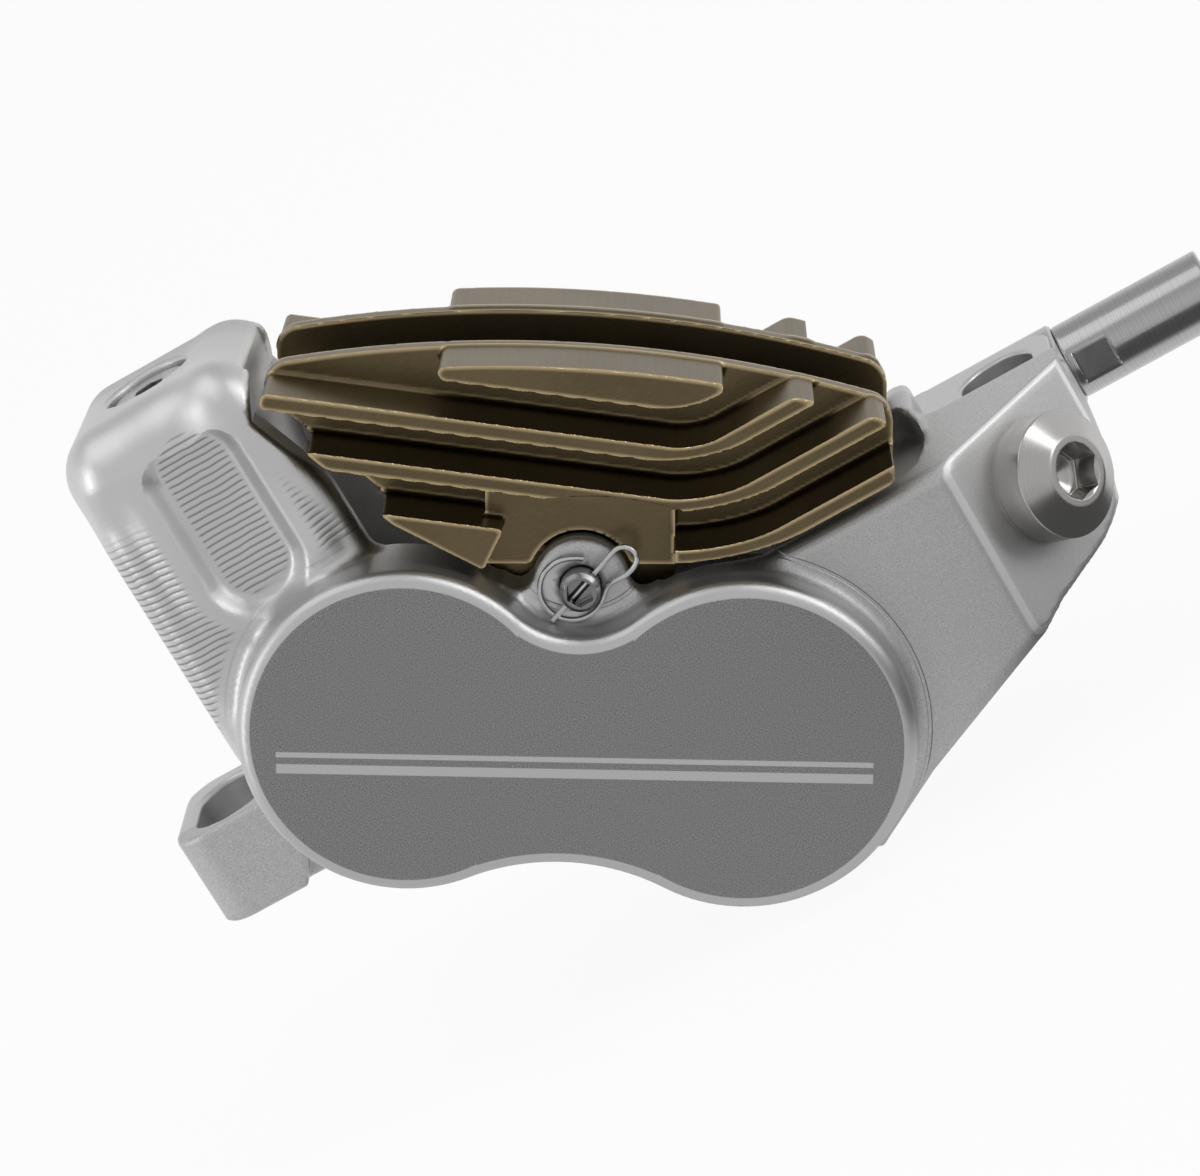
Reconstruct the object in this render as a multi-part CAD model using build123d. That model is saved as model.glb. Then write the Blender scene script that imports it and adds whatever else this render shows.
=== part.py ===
from build123d import *
import math
import os

# Four-piston hydraulic disc brake caliper for a bicycle, post mounted, with finned pads.
# Millimetres. The origin lies midway between the two mounting slots, on the plane of the
# ears' undersides. +Z runs along the mounting bolts, Y along the rotor's axle with the open
# face at -Y, and +X points to the hose. The piston face is turned in the XZ plane: its own
# frame, called the face frame below, has x along the line of pistons and z away from the rotor.

# Mounting standard
BOLT_SPACING = 74.2
SLOT_WIDTH = 6.6
SLOT_LENGTH = 10.6
SLOT_Y = 14.9
FACE_TURN = 30.0

# Ears
EAR_HEIGHT = 8.4
EAR_END = 5.0
EAR_BACK = 7.6
EAR_FRONT = 6.6
EAR_CORNER_R = 3.0
LEFT_EAR_ROOT_X = -20.0
RIGHT_EAR_ROOT_X = 28.0
HEAD_ROOM_R = 6.6
POST_RELIEF_Y = 6.5
LEFT_EAR_TRIM_X = -29.3
LEFT_EAR_TRIM_DEPTH = 2.0

# Piston lobes, in the face frame
LEAD_X, LEAD_Z = -19.66, 4.9
TRAIL_X, TRAIL_Z = 6.93, 3.85
LEAD_BORE_R = 8.0
TRAIL_BORE_R = 8.5
LEAD_WALL = 5.15
TRAIL_WALL = 5.0
TOP_WAIST_R = 7.0
LOW_WAIST_R = 18.0
LOBE_Y = 15.0
LOBE_RIM_R = 1.2

# Walls and arms
WALL_Y = 10.6
LEFT_ARM_X = -28.9
LEFT_ARM_TOP = 46.3
LEFT_ARM_FOOT = (-24.0, 5.0)
LEFT_ARM_FOOT_Z = 14.5
LEFT_ARM_CORNER_R = 4.0
LEFT_ARM_BEVEL = 2.5
LEFT_ARM_EDGE_R = 2.8
LEFT_POCKET_X = -18.7
LEFT_POCKET_LOW, LEFT_POCKET_HIGH = 31.0, 38.8
LEFT_POCKET_R = 4.0
LEFT_POCKET_DEPTH = 1.0
RIGHT_ARM_TOP = 11.3
RIGHT_ARM_X = 43.0
RIGHT_ARM_END_Z = -2.0
RIGHT_ARM_KNEE = (34.7, -4.0)
RIGHT_ARM_HEEL = (19.2, -10.8)
RIGHT_ARM_TOE = (12.7, -14.4)
RIGHT_ARM_EDGE_R = 1.6
TOP_POCKET_DEPTH = 2.2
TOP_POCKET_X = 30.9
TOP_POCKET_R = 20.0
TOP_POCKET_Y = 8.6
REAR_ARM_Y = 14.0
REAR_ARM_X = 30.4
SHOULDER_X = -30.2
SHOULDER_TOP = 24.0

# Flank of the left arm beside the fins, in the face frame
FLANK_TOP = (-32.0, 35.1)
FLANK_NOTCH = (-31.0, 29.0)
FLANK_STEP = (-28.6, 27.6)
FLANK_MID = (-26.3, 24.6)
FLANK_FOOT = (-17.7, 17.6)

# Pad cavity and rotor slot, in the face frame
CAVITY_Y = 6.5
CAVITY_LEFT, CAVITY_RIGHT = -28.4, 16.2
CAVITY_LEAN_Z = 22.5
CAVITY_LEAN_X = -35.4
CAVITY_LEAN_TOP = 39.6
ROTOR_SLOT = 4.6
ROTOR_CUT_R = 92.0
ROTOR_RISE = 15.0

# Bores, seals and caps
BORE_DEPTH = 5.8
SEAL_GROOVE_DEPTH = 1.6
SEAL_GROOVE_WIDTH = 2.1
SEAL_GROOVE_IN = 1.7
SEAL_SLACK = 0.05
SEAL_SQUEEZE_GAP = 0.04
PISTON_GAP = 0.06
PISTON_LENGTH = 7.2
PISTON_WALL = 2.6
PISTON_CUP_DEPTH = 4.6
PISTON_EDGE = 0.4
CAP_LEDGE = 2.2
CAP_THREAD_GAP = 0.05
CAP_RECESS = 0.4
CAP_EDGE = 0.4
CAP_REBATE = 1.15
CAP_HOLE_R = 1.1
CAP_HOLE_DEPTH = 1.4
CAP_HOLE_OUT = 6.4
CAP_RING_R = 0.5

# Retaining pin and its clip, in the face frame
PIN_X, PIN_Z = -5.94, 15.84
PIN_R = 1.6
PIN_GAP = 0.05
PIN_STANDOUT = 2.1
PIN_SOCKET_R = 1.22
PIN_SOCKET_DEPTH = 0.75
PIN_HEAD_R = 2.7
PIN_HEAD_LENGTH = 2.2
PIN_HEX = 2.5
PIN_HEX_DEPTH = 1.4
PIN_HOLE_IN = 1.2
PIN_HOLE_R = 0.34
BOSS_R = 3.8
BOSS_BLEND_R = 1.5
CLIP_WIRE_R = 0.22
CLIP_RING_R = 2.6
CLIP_RING_X, CLIP_RING_Z = -6.6, 15.7
CLIP_TAIL = 3.4
CLIP_REACH = 4.1
CLIP_BEND_R = 0.85
CLIP_RING_BACK = 0.5

# Pads, in the face frame
FRICTION_GAP = 2.3
FRICTION_THICK = 2.05
BACKPLATE_THICK = 1.5
RADIATOR_THICK = 1.5
PAD_END_GAP = 0.3
PAD_LOW_Z, PAD_TOP_Z = -5.0, 14.2
PAD_CORNER_R = 2.0
FRICTION_INSET = 0.6
FRICTION_TOP_Z = 12.5
NECK_LEFT, NECK_RIGHT = -13.4, 1.4
NECK_TOP_Z = 20.0
NECK_CORNER_R = 2.5
TONGUE_LOW_Z = 13.6
PAD_PIN_GAP = 0.15
RIVET_SPREAD = 5.3
RIVET_Z = 17.6
RIVET_R = 1.2
RIVET_HEAD_R = 1.9
RIVET_HEAD = 0.7

# Radiator fins, in the face frame
FIN_OUT = 6.2
FIN_THICK = 1.25
FIN_FALL = 7.5
FIN_BEND_X, FIN_BEND_Z = 3.2, 26.7
FIN_STEP_X, FIN_STEP_Z = 1.05, -4.33
FIN_BEND_R = 9.0
FIN_BEND_STEP_R = 4.5
FIN_EDGE = 0.36
PLATE_LEFT, PLATE_LEFT_LOW, PLATE_LEFT_HIGH = -30.6, 30.0, 32.4
PLATE_CREST_X, PLATE_CREST_Z = -8.0, 34.0
PLATE_RIGHT, PLATE_RIGHT_LOW, PLATE_RIGHT_HIGH = 18.4, 25.7, 29.6
PLATE_BEND_RISE = 0.5
PLATE_HIP = (-20.5, 21.3)
PLATE_FOOT_Z = 17.6
TOP_FIN_LEFT, TOP_FIN_RIGHT = -16.7, 4.2
LUG_OUT = 3.0
LUG_LOW_Z = 17.2
LUG_ARCH_GAP = 0.35

# Pad spring
SPRING_THICK = 0.3
SPRING_HALF_GAP = 1.5
SPRING_WIDTH = 5.0
SPRING_LOW_Z = 13.9
SPRING_TOP_Z = 18.6
SPRING_HOLE_GAP = 0.1

# Bleed screw on the left arm
BLEED_X = -20.6
BLEED_RECESS_R = 3.7
BLEED_RECESS_DEPTH = 3.7
BLEED_THREAD_R = 2.5
BLEED_THREAD_GAP = 0.05
BLEED_THREAD_LENGTH = 5.6
BLEED_HEAD_R = 3.2
BLEED_HEAD_HEIGHT = 1.7
BLEED_HEX = 2.5
BLEED_HEX_DEPTH = 1.3
BLEED_RING_R = 0.5
BLEED_GALLERY_DEPTH = 13.0

# Facet and its plug
FACET_REACH = 42.5
PLUG_Z = 4.94
PLUG_R = 5.35
PLUG_SIDE = 2.8
PLUG_CONE = 1.2
PLUG_NOSE_R = 2.8
PLUG_HEX = 4.0
PLUG_HEX_DEPTH = 2.6
PLUG_DRILL_DEPTH = 0.9
PLUG_SHANK_R = 3.5
PLUG_SHANK_GAP = 0.05
PLUG_SHANK_LENGTH = 6.5
PLUG_HOLE_EXTRA = 0.8
PLUG_SEAL_R = 4.9
PLUG_SEAL_THICK = 0.6
CROSSOVER_LENGTH = 12.5

# Galleries
GALLERY_R = 0.9
GALLERY_Y = 8.6
CROSS_X, CROSS_Z = 30.0, 4.4
GALLERY_PLUG_R = 1.5
GALLERY_PLUG_LENGTH = 2.2
PORT_BUMP_X, PORT_BUMP_Z = 29.3, 9.9
PORT_BUMP_R = 2.3

# Hose port and fitting
PORT_Y, PORT_Z = 24.3, 3.95
PORT_BOSS_R = 3.7
PORT_FACE_X = 42.3
SPIGOT_R = 2.4
SPIGOT_GAP = 0.05
SPIGOT_LENGTH = 8.0
PORT_BORE_EXTRA = 0.6
FITTING_R = 3.3
FITTING_LENGTH = 13.7
FLAT_START, FLAT_END = 0.8, 4.0
FLAT_HALF = 2.95
HOSE_BORE_R = 2.5
HOSE_BORE_DEPTH = 9.0
FITTING_PASSAGE_R = 1.0
FITTING_GROOVE_R = 1.6
FITTING_GROOVE_WIDTH = 1.1
FITTING_GROOVE_OUT = 3.0
FITTING_RING_R = 0.4

LEAD_R = LEAD_BORE_R + LEAD_WALL
TRAIL_R = TRAIL_BORE_R + TRAIL_WALL
BORES = {
    "lead": (LEAD_X, LEAD_Z, LEAD_BORE_R),
    "trail": (TRAIL_X, TRAIL_Z, TRAIL_BORE_R),
}
BORE_END = CAVITY_Y + BORE_DEPTH
BACKPLATE_IN = FRICTION_GAP / 2 + FRICTION_THICK
BACKPLATE_OUT = BACKPLATE_IN + BACKPLATE_THICK
RADIATOR_OUT = BACKPLATE_OUT + RADIATOR_THICK
PIN_TIP_Y = -WALL_Y - PIN_STANDOUT
BEYOND = 60.0


def slab(outline, y_a, y_b):
    """Solid between two levels along Y from an outline drawn as X and Z."""
    low, high = min(y_a, y_b), max(y_a, y_b)
    return Pos(0, high, 0) * extrude(Plane.XZ * outline, amount=high - low, dir=(0, -1, 0))


def face_slab(outline, y_a, y_b):
    """The same for an outline drawn in the face frame."""
    return Rot(0, FACE_TURN, 0) * slab(outline, y_a, y_b)


def mount_point(x, z):
    """A face-frame point in the mounting frame."""
    turn = math.radians(FACE_TURN)
    along = x * math.cos(turn) + z * math.sin(turn)
    up = z * math.cos(turn) - x * math.sin(turn)
    return along, up


def disc(x, z, radius):
    """Circle at a point of an outline."""
    return Pos(x, z) * Circle(radius)


def panel(x_low, z_low, x_high, z_high):
    """Rectangle between two corners of an outline."""
    centre = Pos((x_low + x_high) / 2, (z_low + z_high) / 2)
    return centre * Rectangle(x_high - x_low, z_high - z_low)


def bar(start, end, radius):
    """Round bar between two points."""
    run = Vector(*end) - Vector(*start)
    along = Plane(origin=start, z_dir=run)
    return along * Cylinder(radius, run.length, align=(Align.CENTER, Align.CENTER, Align.MIN))


def mirrored(solid, side):
    """The solid as modelled at the front (-Y), or its mirror image at the rear."""
    return solid if side == "front" else mirror(solid, about=Plane.XZ)


def blend_centre(first, first_r, second, second_r, radius, above):
    """Centre of the arc of the given radius that touches two discs from outside."""
    (x_a, z_a), (x_b, z_b) = first, second
    gap = math.hypot(x_b - x_a, z_b - z_a)
    reach_a, reach_b = first_r + radius, second_r + radius
    along = (reach_a ** 2 - reach_b ** 2 + gap ** 2) / (2 * gap)
    aside = math.sqrt(reach_a ** 2 - along ** 2) * (1 if above else -1)
    ux, uz = (x_b - x_a) / gap, (z_b - z_a) / gap
    return x_a + ux * along - uz * aside, z_a + uz * along + ux * aside


def towards(start, end, distance):
    """The point at a distance from start on the way to end."""
    gap = math.hypot(end[0] - start[0], end[1] - start[1])
    share = distance / gap
    return start[0] + (end[0] - start[0]) * share, start[1] + (end[1] - start[1]) * share


def blend_arc(first, first_r, second, second_r, radius, above):
    """The arc between its two touching points."""
    centre = blend_centre(first, first_r, second, second_r, radius, above)
    start, end = towards(first, centre, first_r), towards(second, centre, second_r)
    middle = ((start[0] + end[0]) / 2, (start[1] + end[1]) / 2)
    return ThreePointArc(start, towards(centre, middle, radius), end)


def blend_web(first, first_r, second, second_r, radius, above):
    """Outline of the web below such an arc."""
    centre = blend_centre(first, first_r, second, second_r, radius, above)
    return Polygon(first, second, centre, align=None) - disc(*centre, radius)


def lobe_outline():
    """Both piston lobes joined by the two waist arcs, in the face frame."""
    lead, trail = (LEAD_X, LEAD_Z), (TRAIL_X, TRAIL_Z)
    top = blend_arc(lead, LEAD_R, trail, TRAIL_R, TOP_WAIST_R, True)
    low = blend_arc(lead, LEAD_R, trail, TRAIL_R, LOW_WAIST_R, False)
    left = ThreePointArc(top @ 0, towards(lead, trail, -LEAD_R), low @ 0)
    right = ThreePointArc(top @ 1, towards(trail, lead, -TRAIL_R), low @ 1)
    return make_face(top + left + low + right)


def boss_outline():
    """Pin boss with its hollow blends down to both lobes, in the face frame."""
    lead, trail, pin = (LEAD_X, LEAD_Z), (TRAIL_X, TRAIL_Z), (PIN_X, PIN_Z)
    outline = disc(*pin, BOSS_R) + Polygon(lead, pin, trail, align=None)
    outline += blend_web(lead, LEAD_R, pin, BOSS_R, BOSS_BLEND_R, True)
    outline += blend_web(pin, BOSS_R, trail, TRAIL_R, BOSS_BLEND_R, True)
    return outline


def left_arm():
    """Upright arm that carries the bleed screw, rounded along its free edges."""
    flank = [mount_point(*p) for p in (FLANK_TOP, FLANK_NOTCH, FLANK_STEP, FLANK_MID, FLANK_FOOT)]
    corners = [
        LEFT_ARM_FOOT,
        (LEFT_ARM_X, LEFT_ARM_FOOT_Z),
        (LEFT_ARM_X, LEFT_ARM_TOP),
        (flank[0][0] - LEFT_ARM_BEVEL, LEFT_ARM_TOP),
        (flank[0][0], LEFT_ARM_TOP - LEFT_ARM_BEVEL),
        *flank[1:],
        mount_point(LEAD_X, LEAD_Z),
    ]
    outline = Polygon(*corners, align=None)
    outline = fillet(outline.vertices().group_by(Axis.Y)[-1].sort_by(Axis.X)[0], LEFT_ARM_CORNER_R)
    arm = slab(outline, -WALL_Y, WALL_Y)
    free = [
        e for e in arm.edges()
        if abs(abs(e.center().Y) - WALL_Y) < LEFT_ARM_EDGE_R / 8
        and (e.center().X < LEFT_ARM_X + LEFT_ARM_CORNER_R and e.center().Z > LEFT_ARM_FOOT_Z
             or e.center().Z > LEFT_ARM_TOP - LEFT_ARM_BEVEL / 8)
    ]
    arm = fillet(free, LEFT_ARM_EDGE_R)
    stadium = Pos(LEFT_POCKET_X, (LEFT_POCKET_LOW + LEFT_POCKET_HIGH) / 2) * SlotCenterToCenter(
        LEFT_POCKET_HIGH - LEFT_POCKET_LOW, 2 * LEFT_POCKET_R, rotation=90)
    return arm - slab(stadium, -WALL_Y, LEFT_POCKET_DEPTH - WALL_Y)


def right_arm():
    """Deep arm on the hose side with a flat top, a shallow pocket and the 45 degree facet."""
    root = mount_point(TRAIL_X, TRAIL_Z)
    corners = [
        root,
        (root[0], RIGHT_ARM_TOP),
        (RIGHT_ARM_X, RIGHT_ARM_TOP),
        (RIGHT_ARM_X, RIGHT_ARM_END_Z),
        RIGHT_ARM_KNEE,
        RIGHT_ARM_HEEL,
        RIGHT_ARM_TOE,
        (root[0], RIGHT_ARM_TOE[1] + RIGHT_ARM_EDGE_R),
    ]
    arm = slab(Polygon(*corners, align=None), -WALL_Y, WALL_Y)
    low_front = [
        e for e in arm.edges()
        if abs(e.center().Y + WALL_Y) < RIGHT_ARM_EDGE_R / 8
        and RIGHT_ARM_HEEL[0] < e.center().X < RIGHT_ARM_KNEE[0]
        and e.center().Z < RIGHT_ARM_END_Z
    ]
    arm = fillet(low_front, RIGHT_ARM_EDGE_R)
    rear = [
        root,
        (root[0], RIGHT_ARM_TOP),
        (REAR_ARM_X, RIGHT_ARM_TOP),
        (REAR_ARM_X, 0),
        RIGHT_ARM_HEEL,
    ]
    arm += slab(Polygon(*rear, align=None), 0, REAR_ARM_Y)
    arm += slab(disc(PORT_BUMP_X, PORT_BUMP_Z, PORT_BUMP_R), 0, REAR_ARM_Y)
    round_end = disc(TOP_POCKET_X - TOP_POCKET_R, 0, TOP_POCKET_R)
    mouth = panel(0, -TOP_POCKET_Y, BEYOND, TOP_POCKET_Y)
    pocket = Pos(0, 0, RIGHT_ARM_TOP - TOP_POCKET_DEPTH) * extrude(round_end & mouth, BEYOND)
    return arm - pocket


def ear_plan(x_root, x_end, y_front):
    """Plan of one ear, round at its two outer corners."""
    back = SLOT_Y + EAR_BACK
    plan = panel(min(x_root, x_end), y_front, max(x_root, x_end), back)
    outer = plan.vertices().sort_by(Axis.X)[:2] if x_end < x_root else plan.vertices().sort_by(Axis.X)[-2:]
    return fillet(outer, EAR_CORNER_R)


def ears():
    """Both ears, as blocks that stand on the mounting plane."""
    left_end = -BOLT_SPACING / 2 - EAR_END
    right_end = BOLT_SPACING / 2 + EAR_END
    left = extrude(ear_plan(LEFT_EAR_ROOT_X, left_end, SLOT_Y - EAR_FRONT), EAR_HEIGHT)
    trim = face_slab(panel(LEFT_EAR_TRIM_X, -BEYOND, BEYOND, BEYOND), 0,
                     SLOT_Y - EAR_FRONT + LEFT_EAR_TRIM_DEPTH)
    right = extrude(ear_plan(RIGHT_EAR_ROOT_X, right_end, POST_RELIEF_Y), EAR_HEIGHT)
    shoulder_z = EAR_HEIGHT / 2
    shoulder = [
        (SHOULDER_X, shoulder_z),
        (SHOULDER_X, EAR_HEIGHT),
        (LEFT_ARM_X, SHOULDER_TOP),
        (LEFT_EAR_ROOT_X, SHOULDER_TOP),
        (LEFT_EAR_ROOT_X, shoulder_z),
    ]
    return left - trim + right + slab(Polygon(*shoulder, align=None), SLOT_Y - EAR_FRONT
                                      + LEFT_EAR_TRIM_DEPTH, LOBE_Y)


def port_boss():
    """Round boss behind the right ear that takes the hose fitting."""
    start = (RIGHT_EAR_ROOT_X, PORT_Y, PORT_Z)
    return bar(start, (PORT_FACE_X, PORT_Y, PORT_Z), PORT_BOSS_R)


def pad_cavity():
    """Space for the pads, open towards the rotor and away from it, with the rotor slot."""
    corners = [
        (CAVITY_LEFT, -BEYOND),
        (CAVITY_RIGHT, -BEYOND),
        (CAVITY_RIGHT, BEYOND),
        (CAVITY_LEAN_X, BEYOND),
        (CAVITY_LEAN_X, CAVITY_LEAN_TOP),
        (CAVITY_LEFT, CAVITY_LEAN_Z),
    ]
    cavity = face_slab(Polygon(*corners, align=None), -CAVITY_Y, CAVITY_Y)
    rotor = disc(PIN_X, ROTOR_RISE - ROTOR_CUT_R, ROTOR_CUT_R)
    return cavity + face_slab(rotor, -ROTOR_SLOT / 2, ROTOR_SLOT / 2)


def bore_cuts():
    """Piston bores with seal grooves; the rear ones run out to the threaded caps."""
    cuts = Part()
    for x, z, radius in BORES.values():
        groove_in = CAVITY_Y + SEAL_GROOVE_IN
        groove = disc(x, z, radius + SEAL_GROOVE_DEPTH)
        for side in (-1, 1):
            cuts += face_slab(disc(x, z, radius), 0, side * BORE_END)
            cuts += face_slab(groove, side * groove_in, side * (groove_in + SEAL_GROOVE_WIDTH))
        cuts += face_slab(disc(x, z, radius + CAP_LEDGE), BORE_END, LOBE_Y)
    return cuts


def mounting_cuts():
    """Slots for the mounting bolts with room for their heads and for the posts."""
    cuts = Part()
    for x in (-BOLT_SPACING / 2, BOLT_SPACING / 2):
        slot = Pos(x, SLOT_Y) * SlotOverall(SLOT_LENGTH, SLOT_WIDTH, rotation=90)
        cuts += extrude(slot, EAR_HEIGHT)
    room_x = BOLT_SPACING / 2 - HEAD_ROOM_R
    room_y = SLOT_Y - (SLOT_LENGTH - SLOT_WIDTH) / 2 - HEAD_ROOM_R - PORT_BOSS_R / 2
    room = panel(room_x, room_y, BEYOND, BEYOND)
    cuts += Pos(0, 0, EAR_HEIGHT) * extrude(room, BEYOND)
    relief = panel(RIGHT_EAR_ROOT_X, POST_RELIEF_Y, BEYOND, BEYOND)
    cuts += Pos(0, 0, -BEYOND) * extrude(relief, BEYOND)
    return cuts


def facet_frame():
    """Plane on the facet, its normal pointing away from the body."""
    half = FACET_REACH / 2
    return Plane(origin=(half + PLUG_OFFSET, PLUG_OFFSET - half, PLUG_Z), z_dir=(1, -1, 0))


# The plug stands midway between the facet's two upright edges
PLUG_OFFSET = (RIGHT_ARM_X + FACET_REACH - WALL_Y) / 2 - FACET_REACH / 2


def facet_cuts():
    """Everything beyond the facet, the plug's hole and the crossover drilled behind it."""
    frame = facet_frame()
    outside = frame * Box(BEYOND, BEYOND, BEYOND, align=(Align.CENTER, Align.CENTER, Align.MIN))
    hole_depth = PLUG_SHANK_LENGTH - PLUG_SEAL_THICK + PLUG_HOLE_EXTRA
    down = (Align.CENTER, Align.CENTER, Align.MAX)
    hole = frame * Cylinder(PLUG_SHANK_R + PLUG_SHANK_GAP, hole_depth, align=down)
    crossover = frame * Cylinder(GALLERY_R, CROSSOVER_LENGTH, align=down)
    return outside + hole + crossover


def bleed_cuts():
    """Recess and thread for the bleed screw, and the drillings down to the leading bores."""
    floor = LEFT_ARM_TOP - BLEED_RECESS_DEPTH
    low = LEFT_ARM_TOP - BLEED_GALLERY_DEPTH
    thread_low = floor - BLEED_THREAD_LENGTH - BLEED_THREAD_R / 2
    cuts = bar((BLEED_X, 0, floor), (BLEED_X, 0, BEYOND), BLEED_RECESS_R)
    cuts += bar((BLEED_X, 0, thread_low), (BLEED_X, 0, floor), BLEED_THREAD_R + BLEED_THREAD_GAP)
    cuts += bar((BLEED_X, 0, low), (BLEED_X, 0, thread_low), GALLERY_R)
    cuts += bar((BLEED_X, -GALLERY_Y, low), (BLEED_X, GALLERY_Y, low), GALLERY_R)
    bore_x, bore_z = mount_point(LEAD_X, LEAD_Z)
    for y in (-GALLERY_Y, GALLERY_Y):
        cuts += bar((BLEED_X, y, low), (bore_x, y, bore_z), GALLERY_R)
    return cuts


def feed_cuts():
    """Port bore, cross drilling and the feeds to the trailing bores and on to the leading ones."""
    spigot_end = PORT_FACE_X - SPIGOT_LENGTH - PORT_BORE_EXTRA
    cuts = bar((spigot_end, PORT_Y, PORT_Z), (PORT_FACE_X, PORT_Y, PORT_Z), SPIGOT_R + SPIGOT_GAP)
    cuts += bar((CROSS_X, PORT_Y, PORT_Z), (spigot_end, PORT_Y, PORT_Z), GALLERY_R)
    back = SLOT_Y + EAR_BACK
    cuts += bar((CROSS_X, -GALLERY_Y, CROSS_Z), (CROSS_X, PORT_Y, CROSS_Z), GALLERY_R)
    trail_x, trail_z = mount_point(TRAIL_X, TRAIL_Z)
    for y in (-GALLERY_Y, GALLERY_Y):
        cuts += bar((CROSS_X, y, CROSS_Z), (trail_x, y, CROSS_Z), GALLERY_R)
        lead_x, lead_z = mount_point(LEAD_X, LEAD_Z)
        cuts += bar((trail_x, y, trail_z), (lead_x, y, lead_z), GALLERY_R)
    plug_in = PORT_Y + PORT_BOSS_R - GALLERY_PLUG_LENGTH
    cuts += bar((CROSS_X, PORT_Y, CROSS_Z), (CROSS_X, plug_in, CROSS_Z), GALLERY_R)
    cuts += bar((CROSS_X, plug_in, CROSS_Z), (CROSS_X, back + BEYOND, CROSS_Z), GALLERY_PLUG_R)
    return cuts


def caliper_body():
    """Monobloc body: lobes, walls, arms and ears, less every bore and cut."""
    lobes = slab(lobe_outline(), -LOBE_Y, LOBE_Y)
    rims = [e for e in lobes.edges() if abs(abs(e.center().Y) - LOBE_Y) < LOBE_RIM_R / 8]
    lobes = Rot(0, FACE_TURN, 0) * fillet(rims, LOBE_RIM_R)
    walls = face_slab(boss_outline(), -WALL_Y, WALL_Y)
    body = lobes + walls + left_arm() + right_arm() + ears() + port_boss()
    body -= facet_cuts()
    body -= mounting_cuts()
    body -= pad_cavity()
    body -= bore_cuts()
    body -= face_slab(disc(PIN_X, PIN_Z, PIN_R + PIN_GAP), -WALL_Y, WALL_Y)
    body -= bleed_cuts()
    body -= feed_cuts()
    return body


def piston(radius, x, z, side):
    """Cup piston with its open end on the backplate."""
    outer = disc(x, z, radius - PISTON_GAP)
    start, end = BACKPLATE_OUT, BACKPLATE_OUT + PISTON_LENGTH
    cup = face_slab(outer, -start, -end)
    cup = chamfer(cup.edges().group_by(Axis.Y)[0], PISTON_EDGE)
    cup -= face_slab(disc(x, z, radius - PISTON_WALL), -start, -start - PISTON_CUP_DEPTH)
    return mirrored(cup, side)


def seal(radius, x, z, side):
    """Square-section seal that lies against the inner flank of its groove."""
    start = CAVITY_Y + SEAL_GROOVE_IN
    end = start + SEAL_GROOVE_WIDTH - 2 * SEAL_SLACK
    ring = disc(x, z, radius + SEAL_GROOVE_DEPTH - SEAL_SLACK)
    ring -= disc(x, z, radius - PISTON_GAP + SEAL_SQUEEZE_GAP)
    return mirrored(face_slab(ring, -start, -end), side)


def bore_cap(radius, x, z):
    """Threaded cap of a rear bore, with two spanner holes and a rebate for its ring."""
    outer_r = radius + CAP_LEDGE - CAP_THREAD_GAP
    top = LOBE_Y - CAP_RECESS
    cap = face_slab(disc(x, z, outer_r), BORE_END, top)
    cap = chamfer(cap.edges().group_by(Axis.Y)[-1], CAP_EDGE)
    rebate = disc(x, z, outer_r + CAP_EDGE) - disc(x, z, outer_r - CAP_REBATE)
    cap -= face_slab(rebate, BORE_END, BORE_END + 2 * CAP_RING_R + SEAL_SLACK)
    for way in (-1, 1):
        hole = disc(x + way * CAP_HOLE_OUT, z, CAP_HOLE_R)
        cap -= face_slab(hole, top - CAP_HOLE_DEPTH, top)
    return cap


def cap_ring(radius, x, z):
    """Ring in the cap's rebate, resting on the body's ledge."""
    ring_x, ring_z = mount_point(x, z)
    centre = Plane(origin=(ring_x, BORE_END + CAP_RING_R, ring_z), z_dir=(0, 1, 0))
    major = radius + CAP_LEDGE - CAP_THREAD_GAP - CAP_RING_R - SEAL_SLACK
    return centre * Torus(major, CAP_RING_R)


def plate_outline():
    """Radiator plate: arched top, right edge, the root of the low fin and the left shoulder."""
    bend_x, bend_z = fin_line(2)[1]
    corners = [
        (PLATE_LEFT, PLATE_LEFT_HIGH),
        (PLATE_LEFT, PLATE_LEFT_LOW),
        PLATE_HIP,
        (NECK_LEFT, PLATE_FOOT_Z),
        (NECK_RIGHT, PLATE_FOOT_Z),
        (bend_x, bend_z + PLATE_BEND_RISE),
        (PLATE_RIGHT, PLATE_RIGHT_LOW),
        (PLATE_RIGHT, PLATE_RIGHT_HIGH),
    ]
    sides = Polyline(*corners)
    crest = ThreePointArc(corners[-1], (PLATE_CREST_X, PLATE_CREST_Z), corners[0])
    return make_face(sides + crest) + low_right_fin()


def fin_line(index):
    """Centre line of one fin: a fall from the left, then a rise level with the arm's top."""
    bend = (FIN_BEND_X + index * FIN_STEP_X, FIN_BEND_Z + index * FIN_STEP_Z)
    fall = math.tan(math.radians(FIN_FALL))
    rise = math.tan(math.radians(FACE_TURN))
    left = (bend[0] - BEYOND, bend[1] + BEYOND * fall)
    right = (bend[0] + BEYOND, bend[1] + BEYOND * rise)
    return left, bend, right


def fin_outline(index, above=FIN_THICK / 2, below=FIN_THICK / 2):
    """Band round a fin's centre line, as thick as asked above and below it."""
    left, bend, right = fin_line(index)
    radius = FIN_BEND_R + index * FIN_BEND_STEP_R
    upper = FilletPolyline(*[(x, z + above) for x, z in (left, bend, right)], radius=radius)
    lower = FilletPolyline(*[(x, z - below) for x, z in (left, bend, right)], radius=radius)
    ends = Line(upper @ 0, lower @ 0) + Line(upper @ 1, lower @ 1)
    return make_face(upper + lower + ends)


def low_right_fin():
    """Outline of the lowest fin to the right of the lug."""
    return fin_outline(2) & panel(NECK_RIGHT, -BEYOND, PLATE_RIGHT, BEYOND)


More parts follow.
